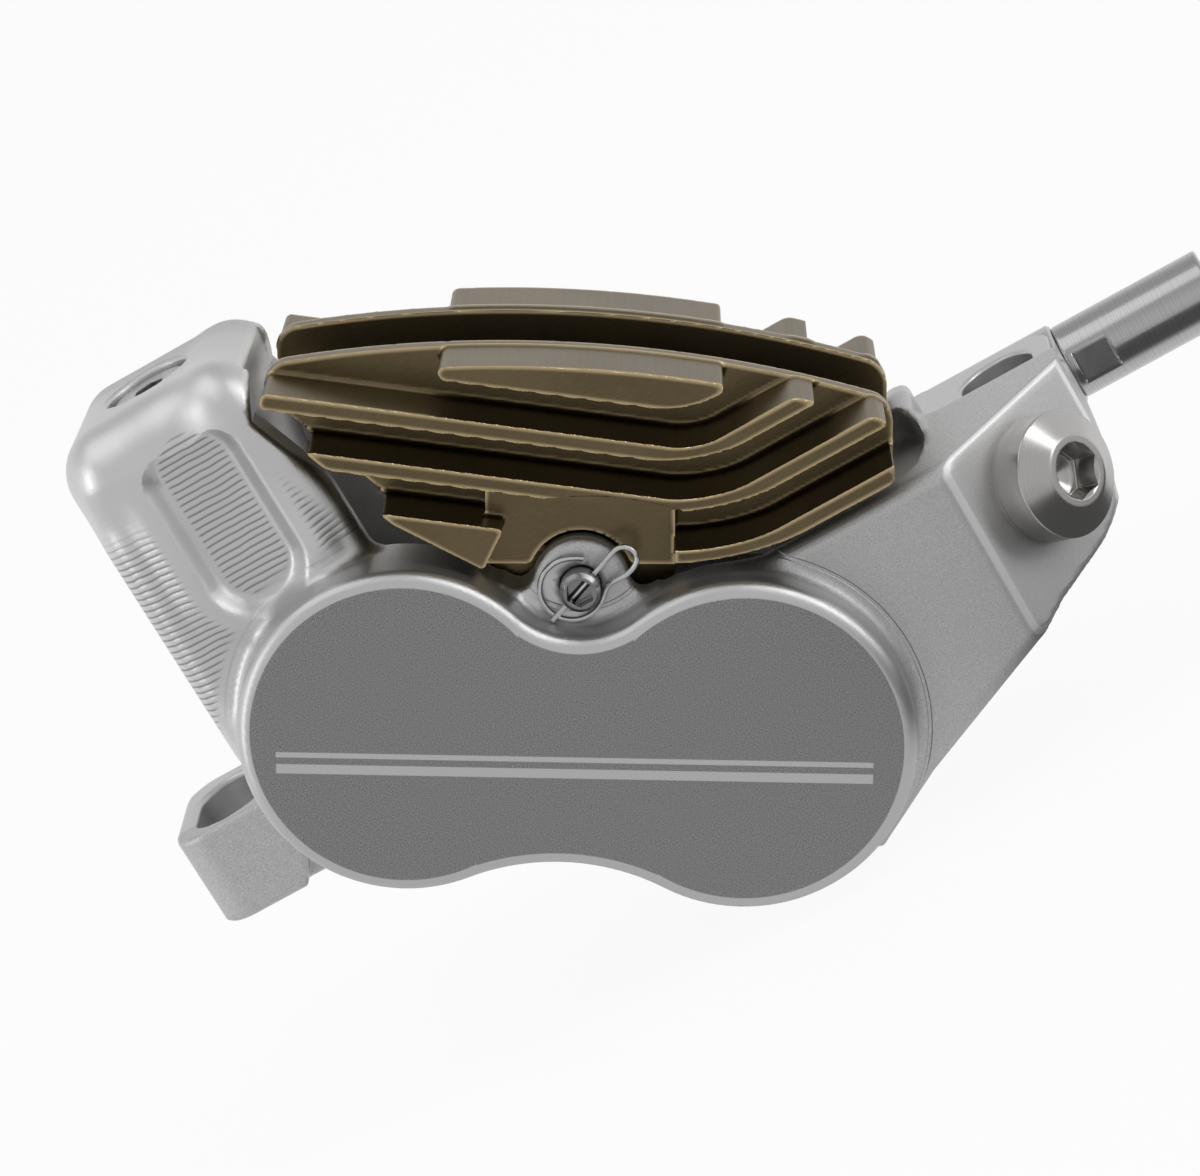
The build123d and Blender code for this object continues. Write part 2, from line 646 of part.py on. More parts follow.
def radiator(side):
    """Finned aluminium radiator with its lug over the pin and the tongue that takes the rivets."""
    plate = plate_outline()
    root, tip = -RADIATOR_OUT, -RADIATOR_OUT - FIN_OUT
    top_fin = fin_outline(-1, above=-FIN_STEP_Z) & plate
    top_fin &= panel(TOP_FIN_LEFT, -BEYOND, TOP_FIN_RIGHT, BEYOND)
    low_left = fin_outline(2, below=-FIN_STEP_Z) & plate
    low_left &= panel(-BEYOND, -BEYOND, NECK_LEFT, BEYOND)
    fins = [top_fin, fin_outline(0) & plate, fin_outline(1) & plate, low_left, low_right_fin()]
    tongue = panel(NECK_LEFT, TONGUE_LOW_Z, NECK_RIGHT, PLATE_FOOT_Z + RIVET_R)
    body = slab(plate + tongue, -BACKPLATE_OUT, root)
    for outline in fins:
        fin = slab(outline, root, tip)
        body += chamfer(fin.edges().group_by(Axis.Y)[0], FIN_EDGE)
    arch = disc(PIN_X, PIN_Z, BOSS_R + LUG_ARCH_GAP)
    lug = fin_outline(2, above=-FIN_STEP_Z, below=-FIN_STEP_Z)
    lug &= panel(NECK_LEFT, LUG_LOW_Z, NECK_RIGHT, BEYOND)
    body += slab(lug - arch, root, root - LUG_OUT)
    body -= slab(disc(PIN_X, PIN_Z, PIN_R + PAD_PIN_GAP), -BACKPLATE_OUT, root)
    body -= rivet_shanks()
    return mirrored(Rot(0, FACE_TURN, 0) * body, side)


def rivet_shanks():
    """Shanks of a pad's two rivets, still in the face frame."""
    places = [disc(PIN_X + way * RIVET_SPREAD, RIVET_Z, RIVET_R) for way in (-1, 1)]
    return slab(places[0] + places[1], -BACKPLATE_IN, -RADIATOR_OUT)


def rivets(side):
    """Two rivets that hold the radiator to the backplate, heads towards the rotor."""
    heads = [disc(PIN_X + way * RIVET_SPREAD, RIVET_Z, RIVET_HEAD_R) for way in (-1, 1)]
    pair = rivet_shanks() + slab(heads[0] + heads[1], -BACKPLATE_IN + RIVET_HEAD, -BACKPLATE_IN)
    return mirrored(Rot(0, FACE_TURN, 0) * pair, side)


def pad_outline(inset, top_z):
    """The pad's lower rectangle with round corners."""
    left, right = CAVITY_LEFT + PAD_END_GAP + inset, CAVITY_RIGHT - PAD_END_GAP - inset
    outline = panel(left, PAD_LOW_Z + inset, right, top_z)
    return fillet(outline.vertices(), PAD_CORNER_R)


def backplate(side):
    """Steel backplate with the neck that hangs on the retaining pin."""
    neck = panel(NECK_LEFT, TRAIL_Z, NECK_RIGHT, NECK_TOP_Z)
    neck = fillet(neck.vertices().group_by(Axis.Y)[-1], NECK_CORNER_R)
    outline = pad_outline(0, PAD_TOP_Z) + neck - disc(PIN_X, PIN_Z, PIN_R + PAD_PIN_GAP)
    plate = slab(outline, -BACKPLATE_IN, -BACKPLATE_OUT) - rivet_shanks()
    return mirrored(Rot(0, FACE_TURN, 0) * plate, side)


def friction_block(side):
    """Friction block bonded to the backplate, with a chamfered leading and trailing end."""
    block = slab(pad_outline(FRICTION_INSET, FRICTION_TOP_Z), -FRICTION_GAP / 2, -BACKPLATE_IN)
    block = chamfer(block.edges().group_by(Axis.Y)[-1], FRICTION_INSET)
    return mirrored(Rot(0, FACE_TURN, 0) * block, side)


def pad_spring():
    """Folded leaf between the pads: two legs on the pin, joined over its top."""
    outer = SPRING_HALF_GAP + SPRING_THICK
    legs = panel(-outer, SPRING_LOW_Z, outer, SPRING_TOP_Z)
    legs -= panel(-SPRING_HALF_GAP, SPRING_LOW_Z, SPRING_HALF_GAP, SPRING_TOP_Z - SPRING_THICK)
    strip = Plane.YZ * legs
    leaf = Pos(PIN_X - SPRING_WIDTH / 2, 0, 0) * extrude(strip, SPRING_WIDTH)
    leaf -= slab(disc(PIN_X, PIN_Z, PIN_R + SPRING_HOLE_GAP), -outer, outer)
    return Rot(0, FACE_TURN, 0) * leaf


def hexagon(across_flats, x=0, z=0):
    """Hexagon by its width across flats."""
    return Pos(x, z) * RegularPolygon(across_flats / 2, 6, major_radius=False)


def clip_way():
    """Unit direction of the clip's straight leg through the pin, in the face frame."""
    angle = math.radians(50)
    return math.cos(angle), math.sin(angle)


def retaining_pin():
    """Headed pin with a cross hole near its tip and a hexagon socket in its head."""
    shank = slab(disc(PIN_X, PIN_Z, PIN_R), PIN_TIP_Y, WALL_Y)
    head = slab(disc(PIN_X, PIN_Z, PIN_HEAD_R), WALL_Y, WALL_Y + PIN_HEAD_LENGTH)
    pin = shank + head
    pin -= slab(disc(PIN_X, PIN_Z, PIN_SOCKET_R), PIN_TIP_Y, PIN_TIP_Y + PIN_SOCKET_DEPTH)
    hexes = hexagon(PIN_HEX, PIN_X, PIN_Z)
    pin -= slab(hexes, WALL_Y + PIN_HEAD_LENGTH - PIN_HEX_DEPTH, WALL_Y + PIN_HEAD_LENGTH)
    ux, uz = clip_way()
    y = PIN_TIP_Y + PIN_HOLE_IN
    start = (PIN_X - ux * PIN_HEAD_R, y, PIN_Z - uz * PIN_HEAD_R)
    end = (PIN_X + ux * PIN_HEAD_R, y, PIN_Z + uz * PIN_HEAD_R)
    return Rot(0, FACE_TURN, 0) * (pin - bar(start, end, PIN_HOLE_R))


def ring_clip():
    """Wire clip: straight leg through the pin, a narrow return loop and a ring round the pin."""
    ux, uz = clip_way()
    y_leg = PIN_TIP_Y + PIN_HOLE_IN
    y_ring = y_leg + CLIP_RING_BACK
    tail = Vector(PIN_X - ux * CLIP_TAIL, y_leg, PIN_Z - uz * CLIP_TAIL)
    reach = Vector(PIN_X + ux * CLIP_REACH, y_leg, PIN_Z + uz * CLIP_REACH)
    aside = Vector(uz, 0, -ux)
    apex = reach + Vector(ux, 0, uz) * CLIP_BEND_R + aside * CLIP_BEND_R
    back = reach + aside * (2 * CLIP_BEND_R)
    start_angle = math.radians(10)
    sweep = math.radians(300)
    turns = [start_angle - sweep * i / 6 for i in range(7)]
    ring = [
        Vector(CLIP_RING_X + CLIP_RING_R * math.cos(a), y_ring, CLIP_RING_Z + CLIP_RING_R * math.sin(a))
        for a in turns
    ]
    leg = Line(tail, reach)
    bend = ThreePointArc(reach, apex, back)
    loop = Spline(back, *ring, tangents=[Vector(-ux, 0, -uz), Vector(0.7, 0, 0.7)])
    path = leg + bend + loop
    section = Plane(origin=tail, z_dir=Vector(ux, 0, uz)) * Circle(CLIP_WIRE_R)
    return Rot(0, FACE_TURN, 0) * sweep_wire(section, path)


def sweep_wire(section, path):
    """Round wire along a path."""
    return sweep(section, path=Wire(path.edges()), transition=Transition.RIGHT)


def bleed_screw():
    """Bleed screw: thread, head in the recess and hexagon socket."""
    floor = LEFT_ARM_TOP - BLEED_RECESS_DEPTH
    under = floor + 2 * BLEED_RING_R
    top = under + BLEED_HEAD_HEIGHT
    screw = bar((BLEED_X, 0, floor - BLEED_THREAD_LENGTH), (BLEED_X, 0, under), BLEED_THREAD_R)
    screw += bar((BLEED_X, 0, under), (BLEED_X, 0, top), BLEED_HEAD_R)
    socket = Pos(BLEED_X, 0, top - BLEED_HEX_DEPTH) * extrude(hexagon(BLEED_HEX), BLEED_HEX_DEPTH)
    return screw - socket


def bleed_ring():
    """Ring under the bleed screw's head."""
    centre = Pos(BLEED_X, 0, LEFT_ARM_TOP - BLEED_RECESS_DEPTH + BLEED_RING_R)
    return centre * Torus(BLEED_THREAD_R + BLEED_THREAD_GAP + BLEED_RING_R, BLEED_RING_R)


def port_plug():
    """Turned plug on the facet: shank, tall head, cone and hexagon socket with a drill point."""
    side_top = PLUG_SEAL_THICK + PLUG_SIDE
    top = side_top + PLUG_CONE
    profile = Polygon(
        (0, PLUG_SEAL_THICK - PLUG_SHANK_LENGTH),
        (PLUG_SHANK_R, PLUG_SEAL_THICK - PLUG_SHANK_LENGTH),
        (PLUG_SHANK_R, PLUG_SEAL_THICK),
        (PLUG_R, PLUG_SEAL_THICK),
        (PLUG_R, side_top),
        (PLUG_NOSE_R, top),
        (0, top),
        align=None,
    )
    turned = revolve(Plane.XZ * profile, Axis.Z)
    turned -= Pos(0, 0, top - PLUG_HEX_DEPTH) * extrude(hexagon(PLUG_HEX), PLUG_HEX_DEPTH)
    drill = Cone(0, PLUG_HEX / 2, PLUG_DRILL_DEPTH, align=(Align.CENTER, Align.CENTER, Align.MAX))
    turned -= Pos(0, 0, top - PLUG_HEX_DEPTH) * drill
    return facet_frame() * turned


def port_seal():
    """Washer under the plug's head."""
    ring = Circle(PLUG_SEAL_R) - Circle(PLUG_SHANK_R + PLUG_SHANK_GAP)
    return facet_frame() * extrude(ring, PLUG_SEAL_THICK)


def gallery_plug():
    """Plain plug that closes the cross drilling at the rear."""
    end = PORT_Y + PORT_BOSS_R
    return bar((CROSS_X, end - GALLERY_PLUG_LENGTH, CROSS_Z), (CROSS_X, end, CROSS_Z), GALLERY_PLUG_R)


def hose_fitting():
    """Tube that takes the hose: spigot in the port, two spanner flats and an open end."""
    def at(x):
        return PORT_FACE_X + x, PORT_Y, PORT_Z
    tube = bar(at(0), at(FITTING_LENGTH), FITTING_R) + bar(at(-SPIGOT_LENGTH), at(0), SPIGOT_R)
    for way in (-1, 1):
        beyond = panel(PORT_FACE_X + FLAT_START, PORT_Z - FITTING_R, PORT_FACE_X + FLAT_END,
                       PORT_Z + FITTING_R)
        tube -= slab(beyond, PORT_Y + way * FLAT_HALF, PORT_Y + way * (FITTING_R + FLAT_HALF))
    tube -= bar(at(-SPIGOT_LENGTH), at(FITTING_LENGTH), FITTING_PASSAGE_R)
    tube -= bar(at(FITTING_LENGTH - HOSE_BORE_DEPTH), at(FITTING_LENGTH), HOSE_BORE_R)
    groove_end = -FITTING_GROOVE_OUT
    groove_start = groove_end - FITTING_GROOVE_WIDTH
    groove = bar(at(groove_start), at(groove_end), SPIGOT_R + SPIGOT_GAP)
    groove -= bar(at(groove_start), at(groove_end), FITTING_GROOVE_R)
    return tube - groove


def fitting_ring():
    """Ring in the spigot's groove."""
    x = PORT_FACE_X - FITTING_GROOVE_OUT - FITTING_GROOVE_WIDTH / 2
    centre = Plane(origin=(x, PORT_Y, PORT_Z), z_dir=(1, 0, 0))
    return centre * Torus(SPIGOT_R - FITTING_RING_R, FITTING_RING_R)


def pieces():
    """Every piece of the caliper by its node name."""
    made = {
        "caliper_body": caliper_body(),
        "pad_spring": pad_spring(),
        "retaining_pin": retaining_pin(),
        "ring_clip": ring_clip(),
        "bleed_screw": bleed_screw(),
        "bleed_oring": bleed_ring(),
        "port_plug": port_plug(),
        "port_seal": port_seal(),
        "gallery_plug": gallery_plug(),
        "hose_fitting": hose_fitting(),
        "fitting_oring": fitting_ring(),
    }
    for name, (x, z, radius) in BORES.items():
        made[f"bore_cap_{name}"] = bore_cap(radius, x, z)
        made[f"cap_oring_{name}"] = cap_ring(radius, x, z)
        for side in ("front", "rear"):
            made[f"piston_{side}_{name}"] = piston(radius, x, z, side)
            made[f"seal_{side}_{name}"] = seal(radius, x, z, side)
    for side in ("front", "rear"):
        made[f"radiator_{side}"] = radiator(side)
        made[f"backplate_{side}"] = backplate(side)
        made[f"friction_{side}"] = friction_block(side)
        made[f"rivets_{side}"] = rivets(side)
    return made


os.makedirs("parts", exist_ok=True)
for node, solid in pieces().items():
    export_step(solid, f"parts/{node}.step")
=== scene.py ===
import logging
import math
from dataclasses import dataclass, field
from enum import Enum
from functools import partial, reduce
from typing import Callable, Iterable, Sequence

import bpy
import numpy as np
from mathutils import Matrix, Vector


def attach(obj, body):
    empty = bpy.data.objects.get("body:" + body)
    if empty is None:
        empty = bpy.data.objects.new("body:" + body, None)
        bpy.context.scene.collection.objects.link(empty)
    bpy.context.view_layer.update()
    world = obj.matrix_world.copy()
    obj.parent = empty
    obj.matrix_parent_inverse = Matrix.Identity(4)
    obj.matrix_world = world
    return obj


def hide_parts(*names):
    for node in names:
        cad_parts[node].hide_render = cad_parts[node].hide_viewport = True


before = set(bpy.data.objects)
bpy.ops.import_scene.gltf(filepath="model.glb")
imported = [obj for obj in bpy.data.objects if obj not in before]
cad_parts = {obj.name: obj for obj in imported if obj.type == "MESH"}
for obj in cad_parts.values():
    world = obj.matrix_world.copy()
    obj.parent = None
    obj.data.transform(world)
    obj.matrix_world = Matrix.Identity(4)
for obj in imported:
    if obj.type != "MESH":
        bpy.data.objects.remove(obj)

# Dress of a four-piston post-mount brake caliper. Lengths are millimetres until a mesh is
# made, in the CAD frame: Z along the mounting bolts, Y along the rotor's axle, X to the hose.
# The piston face is turned about Y; "face" coordinates run along and across the pistons.

LOG = logging.getLogger("caliper")
MM = 0.001
FACE_TURN = math.radians(30.0)
TURN_COS, TURN_SIN = math.cos(FACE_TURN), math.sin(FACE_TURN)

Array = np.ndarray
Field = Callable[[Array, Array, Array], Array]
Point2 = tuple[float, float]
Point3 = tuple[float, float, float]
Socket = bpy.types.NodeSocket
Node = bpy.types.Node
Mesh = bpy.types.Mesh
Object = bpy.types.Object
Material = bpy.types.Material
Tree = bpy.types.NodeTree


class Body(str, Enum):
    """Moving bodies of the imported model."""

    CALIPER = "caliper"
    PAD_FRONT = "pad_front"
    PAD_REAR = "pad_rear"


class Side(Enum):
    """Front is the blank piston face at -Y, rear is the side of the ears."""

    FRONT = -1
    REAR = 1

    @property
    def word(self) -> str:
        """The side's word in node names."""
        return self.name.lower()

    @property
    def pad(self) -> Body:
        """The body of this side's pad."""
        return Body.PAD_FRONT if self is Side.FRONT else Body.PAD_REAR


# ---- Distance fields ------------------------------------------------------------------------


def to_face(x: Array, z: Array) -> tuple[Array, Array]:
    """Turn mounting-frame X and Z into face-frame X and Z."""
    return x * TURN_COS - z * TURN_SIN, x * TURN_SIN + z * TURN_COS


def from_face(x: float, z: float) -> Point2:
    """Turn a face-frame point into the mounting frame."""
    return x * TURN_COS + z * TURN_SIN, z * TURN_COS - x * TURN_SIN


def both(a: Array, b: Array, radius: float | Array = 0.0) -> Array:
    """Intersection of two fields with its edge rounded."""
    reach = np.hypot(np.maximum(radius + a, 0), np.maximum(radius + b, 0))
    return np.minimum(-radius, np.maximum(a, b)) + reach


def either(a: Array, b: Array, radius: float | Array = 0.0) -> Array:
    """Union of two fields with its hollow corner rounded."""
    return -both(-a, -b, radius)


def without(a: Array, b: Array, radius: float | Array = 0.0) -> Array:
    """One field less another, with the mouth's edge rounded."""
    return both(a, -b, radius)


def bevelled(a: Array, b: Array, leg: float) -> Array:
    """Intersection of two fields with a flat bevel on its edge."""
    return np.maximum(np.maximum(a, b), (a + b + leg) * math.sqrt(0.5))


def between(value: Array, low: float, high: float) -> Array:
    """Slab between two levels of a coordinate."""
    return np.maximum(low - value, value - high)


def circle(x: Array, z: Array, centre: Point2, radius: float) -> Array:
    """Disc in a plane."""
    return np.hypot(x - centre[0], z - centre[1]) - radius


def stadium(x: Array, z: Array, start: Point2, end: Point2, radius: float) -> Array:
    """Slot with round ends in a plane.

    Args:
        x, z: Coordinates in the plane.
        start, end: Centres of its ends.
        radius: Half the slot's width.

    Returns:
        Signed distance of the slot.
    """
    run = (end[0] - start[0], end[1] - start[1])
    size = run[0] ** 2 + run[1] ** 2
    share = np.clip(((x - start[0]) * run[0] + (z - start[1]) * run[1]) / size, 0, 1)
    return np.hypot(x - start[0] - share * run[0], z - start[1] - share * run[1]) - radius


def half_plane(x: Array, z: Array, start: Point2, end: Point2) -> Array:
    """Half plane to the left of a directed line.

    Args:
        x, z: Coordinates in the plane.
        start: A point of the line.
        end: A later point of the line.

    Returns:
        Signed distance, negative to the left.
    """
    run_x, run_z = end[0] - start[0], end[1] - start[1]
    size = math.hypot(run_x, run_z)
    return ((x - start[0]) * run_z - (z - start[1]) * run_x) / size


def polygon(x: Array, z: Array, corners: Sequence[Point2]) -> Array:
    """Closed polygon in a plane.

    Args:
        x, z: Coordinates in the plane.
        corners: Its corners in order.

    Returns:
        Signed distance of the polygon.
    """
    nearest = np.full(np.broadcast(x, z).shape, 1e12)
    inside = np.zeros(nearest.shape, bool)
    for (ax, az), (bx, bz) in zip(corners, [*corners[1:], corners[0]]):
        ex, ez = bx - ax, bz - az
        wx, wz = x - ax, z - az
        share = np.clip((wx * ex + wz * ez) / (ex * ex + ez * ez), 0, 1)
        nearest = np.minimum(nearest, (wx - ex * share) ** 2 + (wz - ez * share) ** 2)
        rising, falling = (z >= az) & (z < bz), (z < az) & (z >= bz)
        left = ex * wz - ez * wx > 0
        inside ^= (rising & left) | (falling & ~left)
    return np.where(inside, -1.0, 1.0) * np.sqrt(nearest)


def smooth(value: Array, low: float, high: float) -> Array:
    """Smooth step from 0 to 1."""
    share = np.clip((value - low) / (high - low), 0, 1)
    return share * share * (3 - 2 * share)


def touching_centre(first: Point2, first_r: float, second: Point2, second_r: float,
                    radius: float, above: bool) -> Point2:
    """Centre of the circle that touches two discs from outside.

    Args:
        first, second: Centres of the discs.
        first_r, second_r: Their radii.
        radius: Radius of the touching circle.
        above: Whether it lies above the line of centres.

    Returns:
        The centre.
    """
    gap = math.hypot(second[0] - first[0], second[1] - first[1])
    reach_a, reach_b = first_r + radius, second_r + radius
    along = (reach_a ** 2 - reach_b ** 2 + gap ** 2) / (2 * gap)
    aside = math.sqrt(reach_a ** 2 - along ** 2) * (1 if above else -1)
    ux, uz = (second[0] - first[0]) / gap, (second[1] - first[1]) / gap
    return first[0] + ux * along - uz * aside, first[1] + uz * along + ux * aside


def hexagon(x: Array, z: Array, across: float) -> Array:
    """Regular hexagon round the origin.

    Args:
        x, z: Coordinates in the plane.
        across: Width across its flats.

    Returns:
        Signed distance of the hexagon.
    """
    reach = np.abs(x)
    for angle in (60.0, 120.0):
        turn = math.radians(angle)
        reach = np.maximum(reach, np.abs(x * math.cos(turn) + z * math.sin(turn)))
    return reach - across / 2


# ---- Meshing a field -------------------------------------------------------------------------

PAIRS = ((0, 0), (0, 1), (0, 2), (1, 1), (1, 2), (2, 2))


@dataclass(frozen=True)
class Placement:
    """Local frame of a piece: mounting-frame place and axes, in millimetres."""

    origin: Point3 = (0.0, 0.0, 0.0)
    axes: tuple[Point3, Point3, Point3] = ((1, 0, 0), (0, 1, 0), (0, 0, 1))

    @classmethod
    def face(cls) -> "Placement":
        """The face frame."""
        return cls(axes=((TURN_COS, 0, -TURN_SIN), (0, 1, 0), (TURN_SIN, 0, TURN_COS)))

    @classmethod
    def along(cls, origin: Point3, axis: Point3, side: Point3 = (0, 0, 1)) -> "Placement":
        """A frame whose Z runs along an axis.

        Args:
            origin: Its origin.
            axis: Direction of its Z.
            side: Direction near its X.

        Returns:
            The placement.
        """
        up = Vector(axis).normalized()
        right = (Vector(side) - up * Vector(side).dot(up)).normalized()
        ahead = up.cross(right)
        return cls(origin, (tuple(right), tuple(ahead), tuple(up)))

    def to_mount(self, points: Array) -> Array:
        """Carry local points into the mounting frame."""
        return points @ np.array(self.axes, float) + np.array(self.origin, float)

    def turned(self, directions: Array) -> Array:
        """Carry local directions into the mounting frame."""
        return directions @ np.array(self.axes, float)


@dataclass
class FieldMesher:
    """Turns a distance field into quads whose corners keep the field's own normals."""

    shape: Field
    low: Point3
    high: Point3
    step: float
    centre_pull: float = 0.03
    normal_inset: float = 0.28
    normal_reach: float = 0.015
    corners: Array = field(init=False)
    quads: Array = field(init=False)
    normals: Array = field(init=False)

    def gradient(self, points: Array, reach: float = 0.02) -> Array:
        """Unit outward normals of the field.

        Args:
            points: Rows of coordinates.
            reach: Distance of the sampled neighbours.

        Returns:
            Rows of unit normals.
        """
        total = np.zeros_like(points)
        for way in ((1, 1, 1), (1, -1, -1), (-1, 1, -1), (-1, -1, 1)):
            way = np.array(way, float)
            near = points + way * reach
            total += self.shape(near[:, 0], near[:, 1], near[:, 2])[:, None] * way
        return total / np.maximum(np.linalg.norm(total, axis=1, keepdims=True), 1e-9)

    def crossings(self, values: Array, axis: int) -> tuple[Array, Array, Array]:
        """Lattice edges along one axis that pass through the surface.

        Args:
            values: Field values on the lattice.
            axis: Index of the axis.

        Returns:
            Lattice index of each edge, the crossing point, and whether its start is inside.
        """
        head, tail = [slice(None)] * 3, [slice(None)] * 3
        head[axis], tail[axis] = slice(0, -1), slice(1, None)
        first, second = values[tuple(head)], values[tuple(tail)]
        index = np.argwhere((first < 0) != (second < 0))
        near = first[tuple(index.T)].astype(float)
        far = second[tuple(index.T)].astype(float)
        starts_inside = near < 0
        base = np.array(self.low, float) + index * self.step
        near_t, far_t = np.zeros(len(index)), np.ones(len(index))
        for _ in range(3):
            share = near_t + (far_t - near_t) * np.clip(near / (near - far), 0.02, 0.98)
            point = base.copy()
            point[:, axis] += share * self.step
            value = self.shape(point[:, 0], point[:, 1], point[:, 2])
            same = (value < 0) == (near < 0)
            near, near_t = np.where(same, value, near), np.where(same, share, near_t)
            far, far_t = np.where(same, far, value), np.where(same, far_t, share)
        return index, point, starts_inside

    def run(self) -> "FieldMesher":
        """Place one corner in each cell that the surface crosses and join them.

        Returns:
            This mesher, with corners, quads and normals filled in.
        """
        low, high = np.array(self.low, float), np.array(self.high, float)
        count = np.ceil((high - low) / self.step).astype(int) + 1
        x, y, z = (low[i] + self.step * np.arange(count[i]) for i in range(3))
        values = self.shape(x[:, None, None], y[None, :, None], z[None, None, :])
        values = np.broadcast_to(values, tuple(count)).astype(np.float32)
        inside = values < 0
        cells = np.zeros(tuple(count - 1), np.int8)
        for corner in np.ndindex(2, 2, 2):
            window = tuple(slice(c, c + n - 1) for c, n in zip(corner, count))
            cells += inside[window]
        active = (cells > 0) & (cells < 8)
        total = int(active.sum())
        number = np.full(active.shape, -1, np.int64)
        number[active] = np.arange(total)
        centre = low + (np.argwhere(active) + 0.5) * self.step
        sums = np.zeros((total, 13))
        faces = []
        for axis in range(3):
            index, point, starts_inside = self.crossings(values, axis)
            normal = self.gradient(point)
            ring = []
            for step_u, step_v in ((-1, -1), (0, -1), (0, 0), (-1, 0)):
                cell = index.copy()
                cell[:, (axis + 1) % 3] += step_u
                cell[:, (axis + 2) % 3] += step_v
                home = number[tuple(cell.T)]
                local = point - centre[home]
                reach = (normal * local).sum(1)
                parts = [normal[:, i] * normal[:, j] for i, j in PAIRS]
                parts += [normal[:, i] * reach for i in range(3)]
                parts += [local[:, i] for i in range(3)] + [np.ones(len(home))]
                for slot, part in enumerate(parts):
                    sums[:, slot] += np.bincount(home, part, total)
                ring.append(home)
            quad = np.stack(ring, 1)
            quad[~starts_inside] = quad[~starts_inside][:, ::-1]
            faces.append(quad)
        mass = sums[:, 9:12] / sums[:, 12:13]
        pull = self.centre_pull * sums[:, 12]
        matrix = np.empty((total, 3, 3))
        for slot, (i, j) in enumerate(PAIRS):
            matrix[:, i, j] = matrix[:, j, i] = sums[:, slot]
        matrix[:, range(3), range(3)] += pull[:, None]
        place = np.linalg.solve(matrix, (sums[:, 6:9] + pull[:, None] * mass)[..., None])[..., 0]
        self.corners = centre + np.clip(place, -0.5 * self.step, 0.5 * self.step)
        self.quads = np.concatenate(faces)
        used, flat = np.unique(self.quads, return_inverse=True)
        self.corners = self.corners[used]
        self.quads = flat.reshape(self.quads.shape)
        ring = self.corners[self.quads]
        inset = self.normal_inset
        probe = ring * (1 - inset) + ring.mean(1, keepdims=True) * inset
        self.normals = self.gradient(probe.reshape(-1, 3), self.normal_reach).reshape(ring.shape)
        return self

    def mark(self, made: Mesh, value: Array) -> None:
        """Keep one number per corner in the mesh's UV map, for the painted highlight along edges.

        Args:
            made: Mesh made by this mesher.
            value: The number at each corner.
        """
        layer = made.uv_layers.new(name="edge")
        spread = np.zeros((self.quads.size, 2))
        spread[:, 0] = value[self.quads].ravel()
        layer.data.foreach_set("uv", spread.ravel())

    def mesh(self, name: str, placement: Placement = Placement()) -> Mesh:
        """Make a Blender mesh of the quads.

        Args:
            name: Name of the mesh.
            placement: Local frame that the field was written in.

        Returns:
            The mesh, in metres, with custom normals.
        """
        made = bpy.data.meshes.new(name)
        corners = placement.to_mount(self.corners) * MM
        made.from_pydata(corners.tolist(), [], self.quads.tolist())
        made.polygons.foreach_set("use_smooth", np.ones(len(self.quads), bool))
        made.normals_split_custom_set(placement.turned(self.normals.reshape(-1, 3)).tolist())
        made.update()
        return made


def linked(name: str, data: bpy.types.ID) -> Object:
    """Put an object into the scene.

    Args:
        name: Its name.
        data: Its mesh, curve, camera or lamp.

    Returns:
        The object.
    """
    made = bpy.data.objects.new(name, data)
    bpy.context.scene.collection.objects.link(made)
    return made


def solid_mesh(holder: Object) -> Mesh:
    """The plain mesh of an evaluated object."""
    seen = holder.evaluated_get(bpy.context.evaluated_depsgraph_get())
    return bpy.data.meshes.new_from_object(seen)


def add_object(mesh: Mesh, name: str, body: Body,
               replaced: Iterable[str]) -> Object:
    """Put a mesh into the scene as a piece of the caliper.

    Args:
        mesh: The piece's mesh, already in place.
        name: Name of the piece.
        body: Body that it rides on.
        replaced: CAD nodes that it stands for.

    Returns:
        The object.
    """
    piece = linked(name, mesh)
    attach(piece, body.value)
    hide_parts(*replaced)
    LOG.info("%s: %d faces", name, len(mesh.polygons))
    return piece


def carve(name: str, node: str, body: Body, finish: Material, shape: Field,
          box: tuple[Point3, Point3], steps: Point2,
          placement: Placement = Placement(), edges: Field | None = None) -> Object:
    """Make a piece from its distance field.

    Args:
        name: Name of the piece.
        node: CAD node that it stands for.
        body: Body that it rides on.
        finish: Its material.
        shape: Its field.
        box: Low and high corner of the room that holds it.
        placement: Local frame that the field is written in.
        edges: Field kept in the UV map.

    Returns:
        The object.
    """
    mesher = FieldMesher(shape, *box, steps[0]).run()
    mesh = mesher.mesh(name, placement)
    if edges is not None:
        mesher.mark(mesh, edges(*mesher.corners.T))
    mesh.materials.append(finish)
    return add_object(mesh, name, body, [node])


# ---- Materials -------------------------------------------------------------------------------


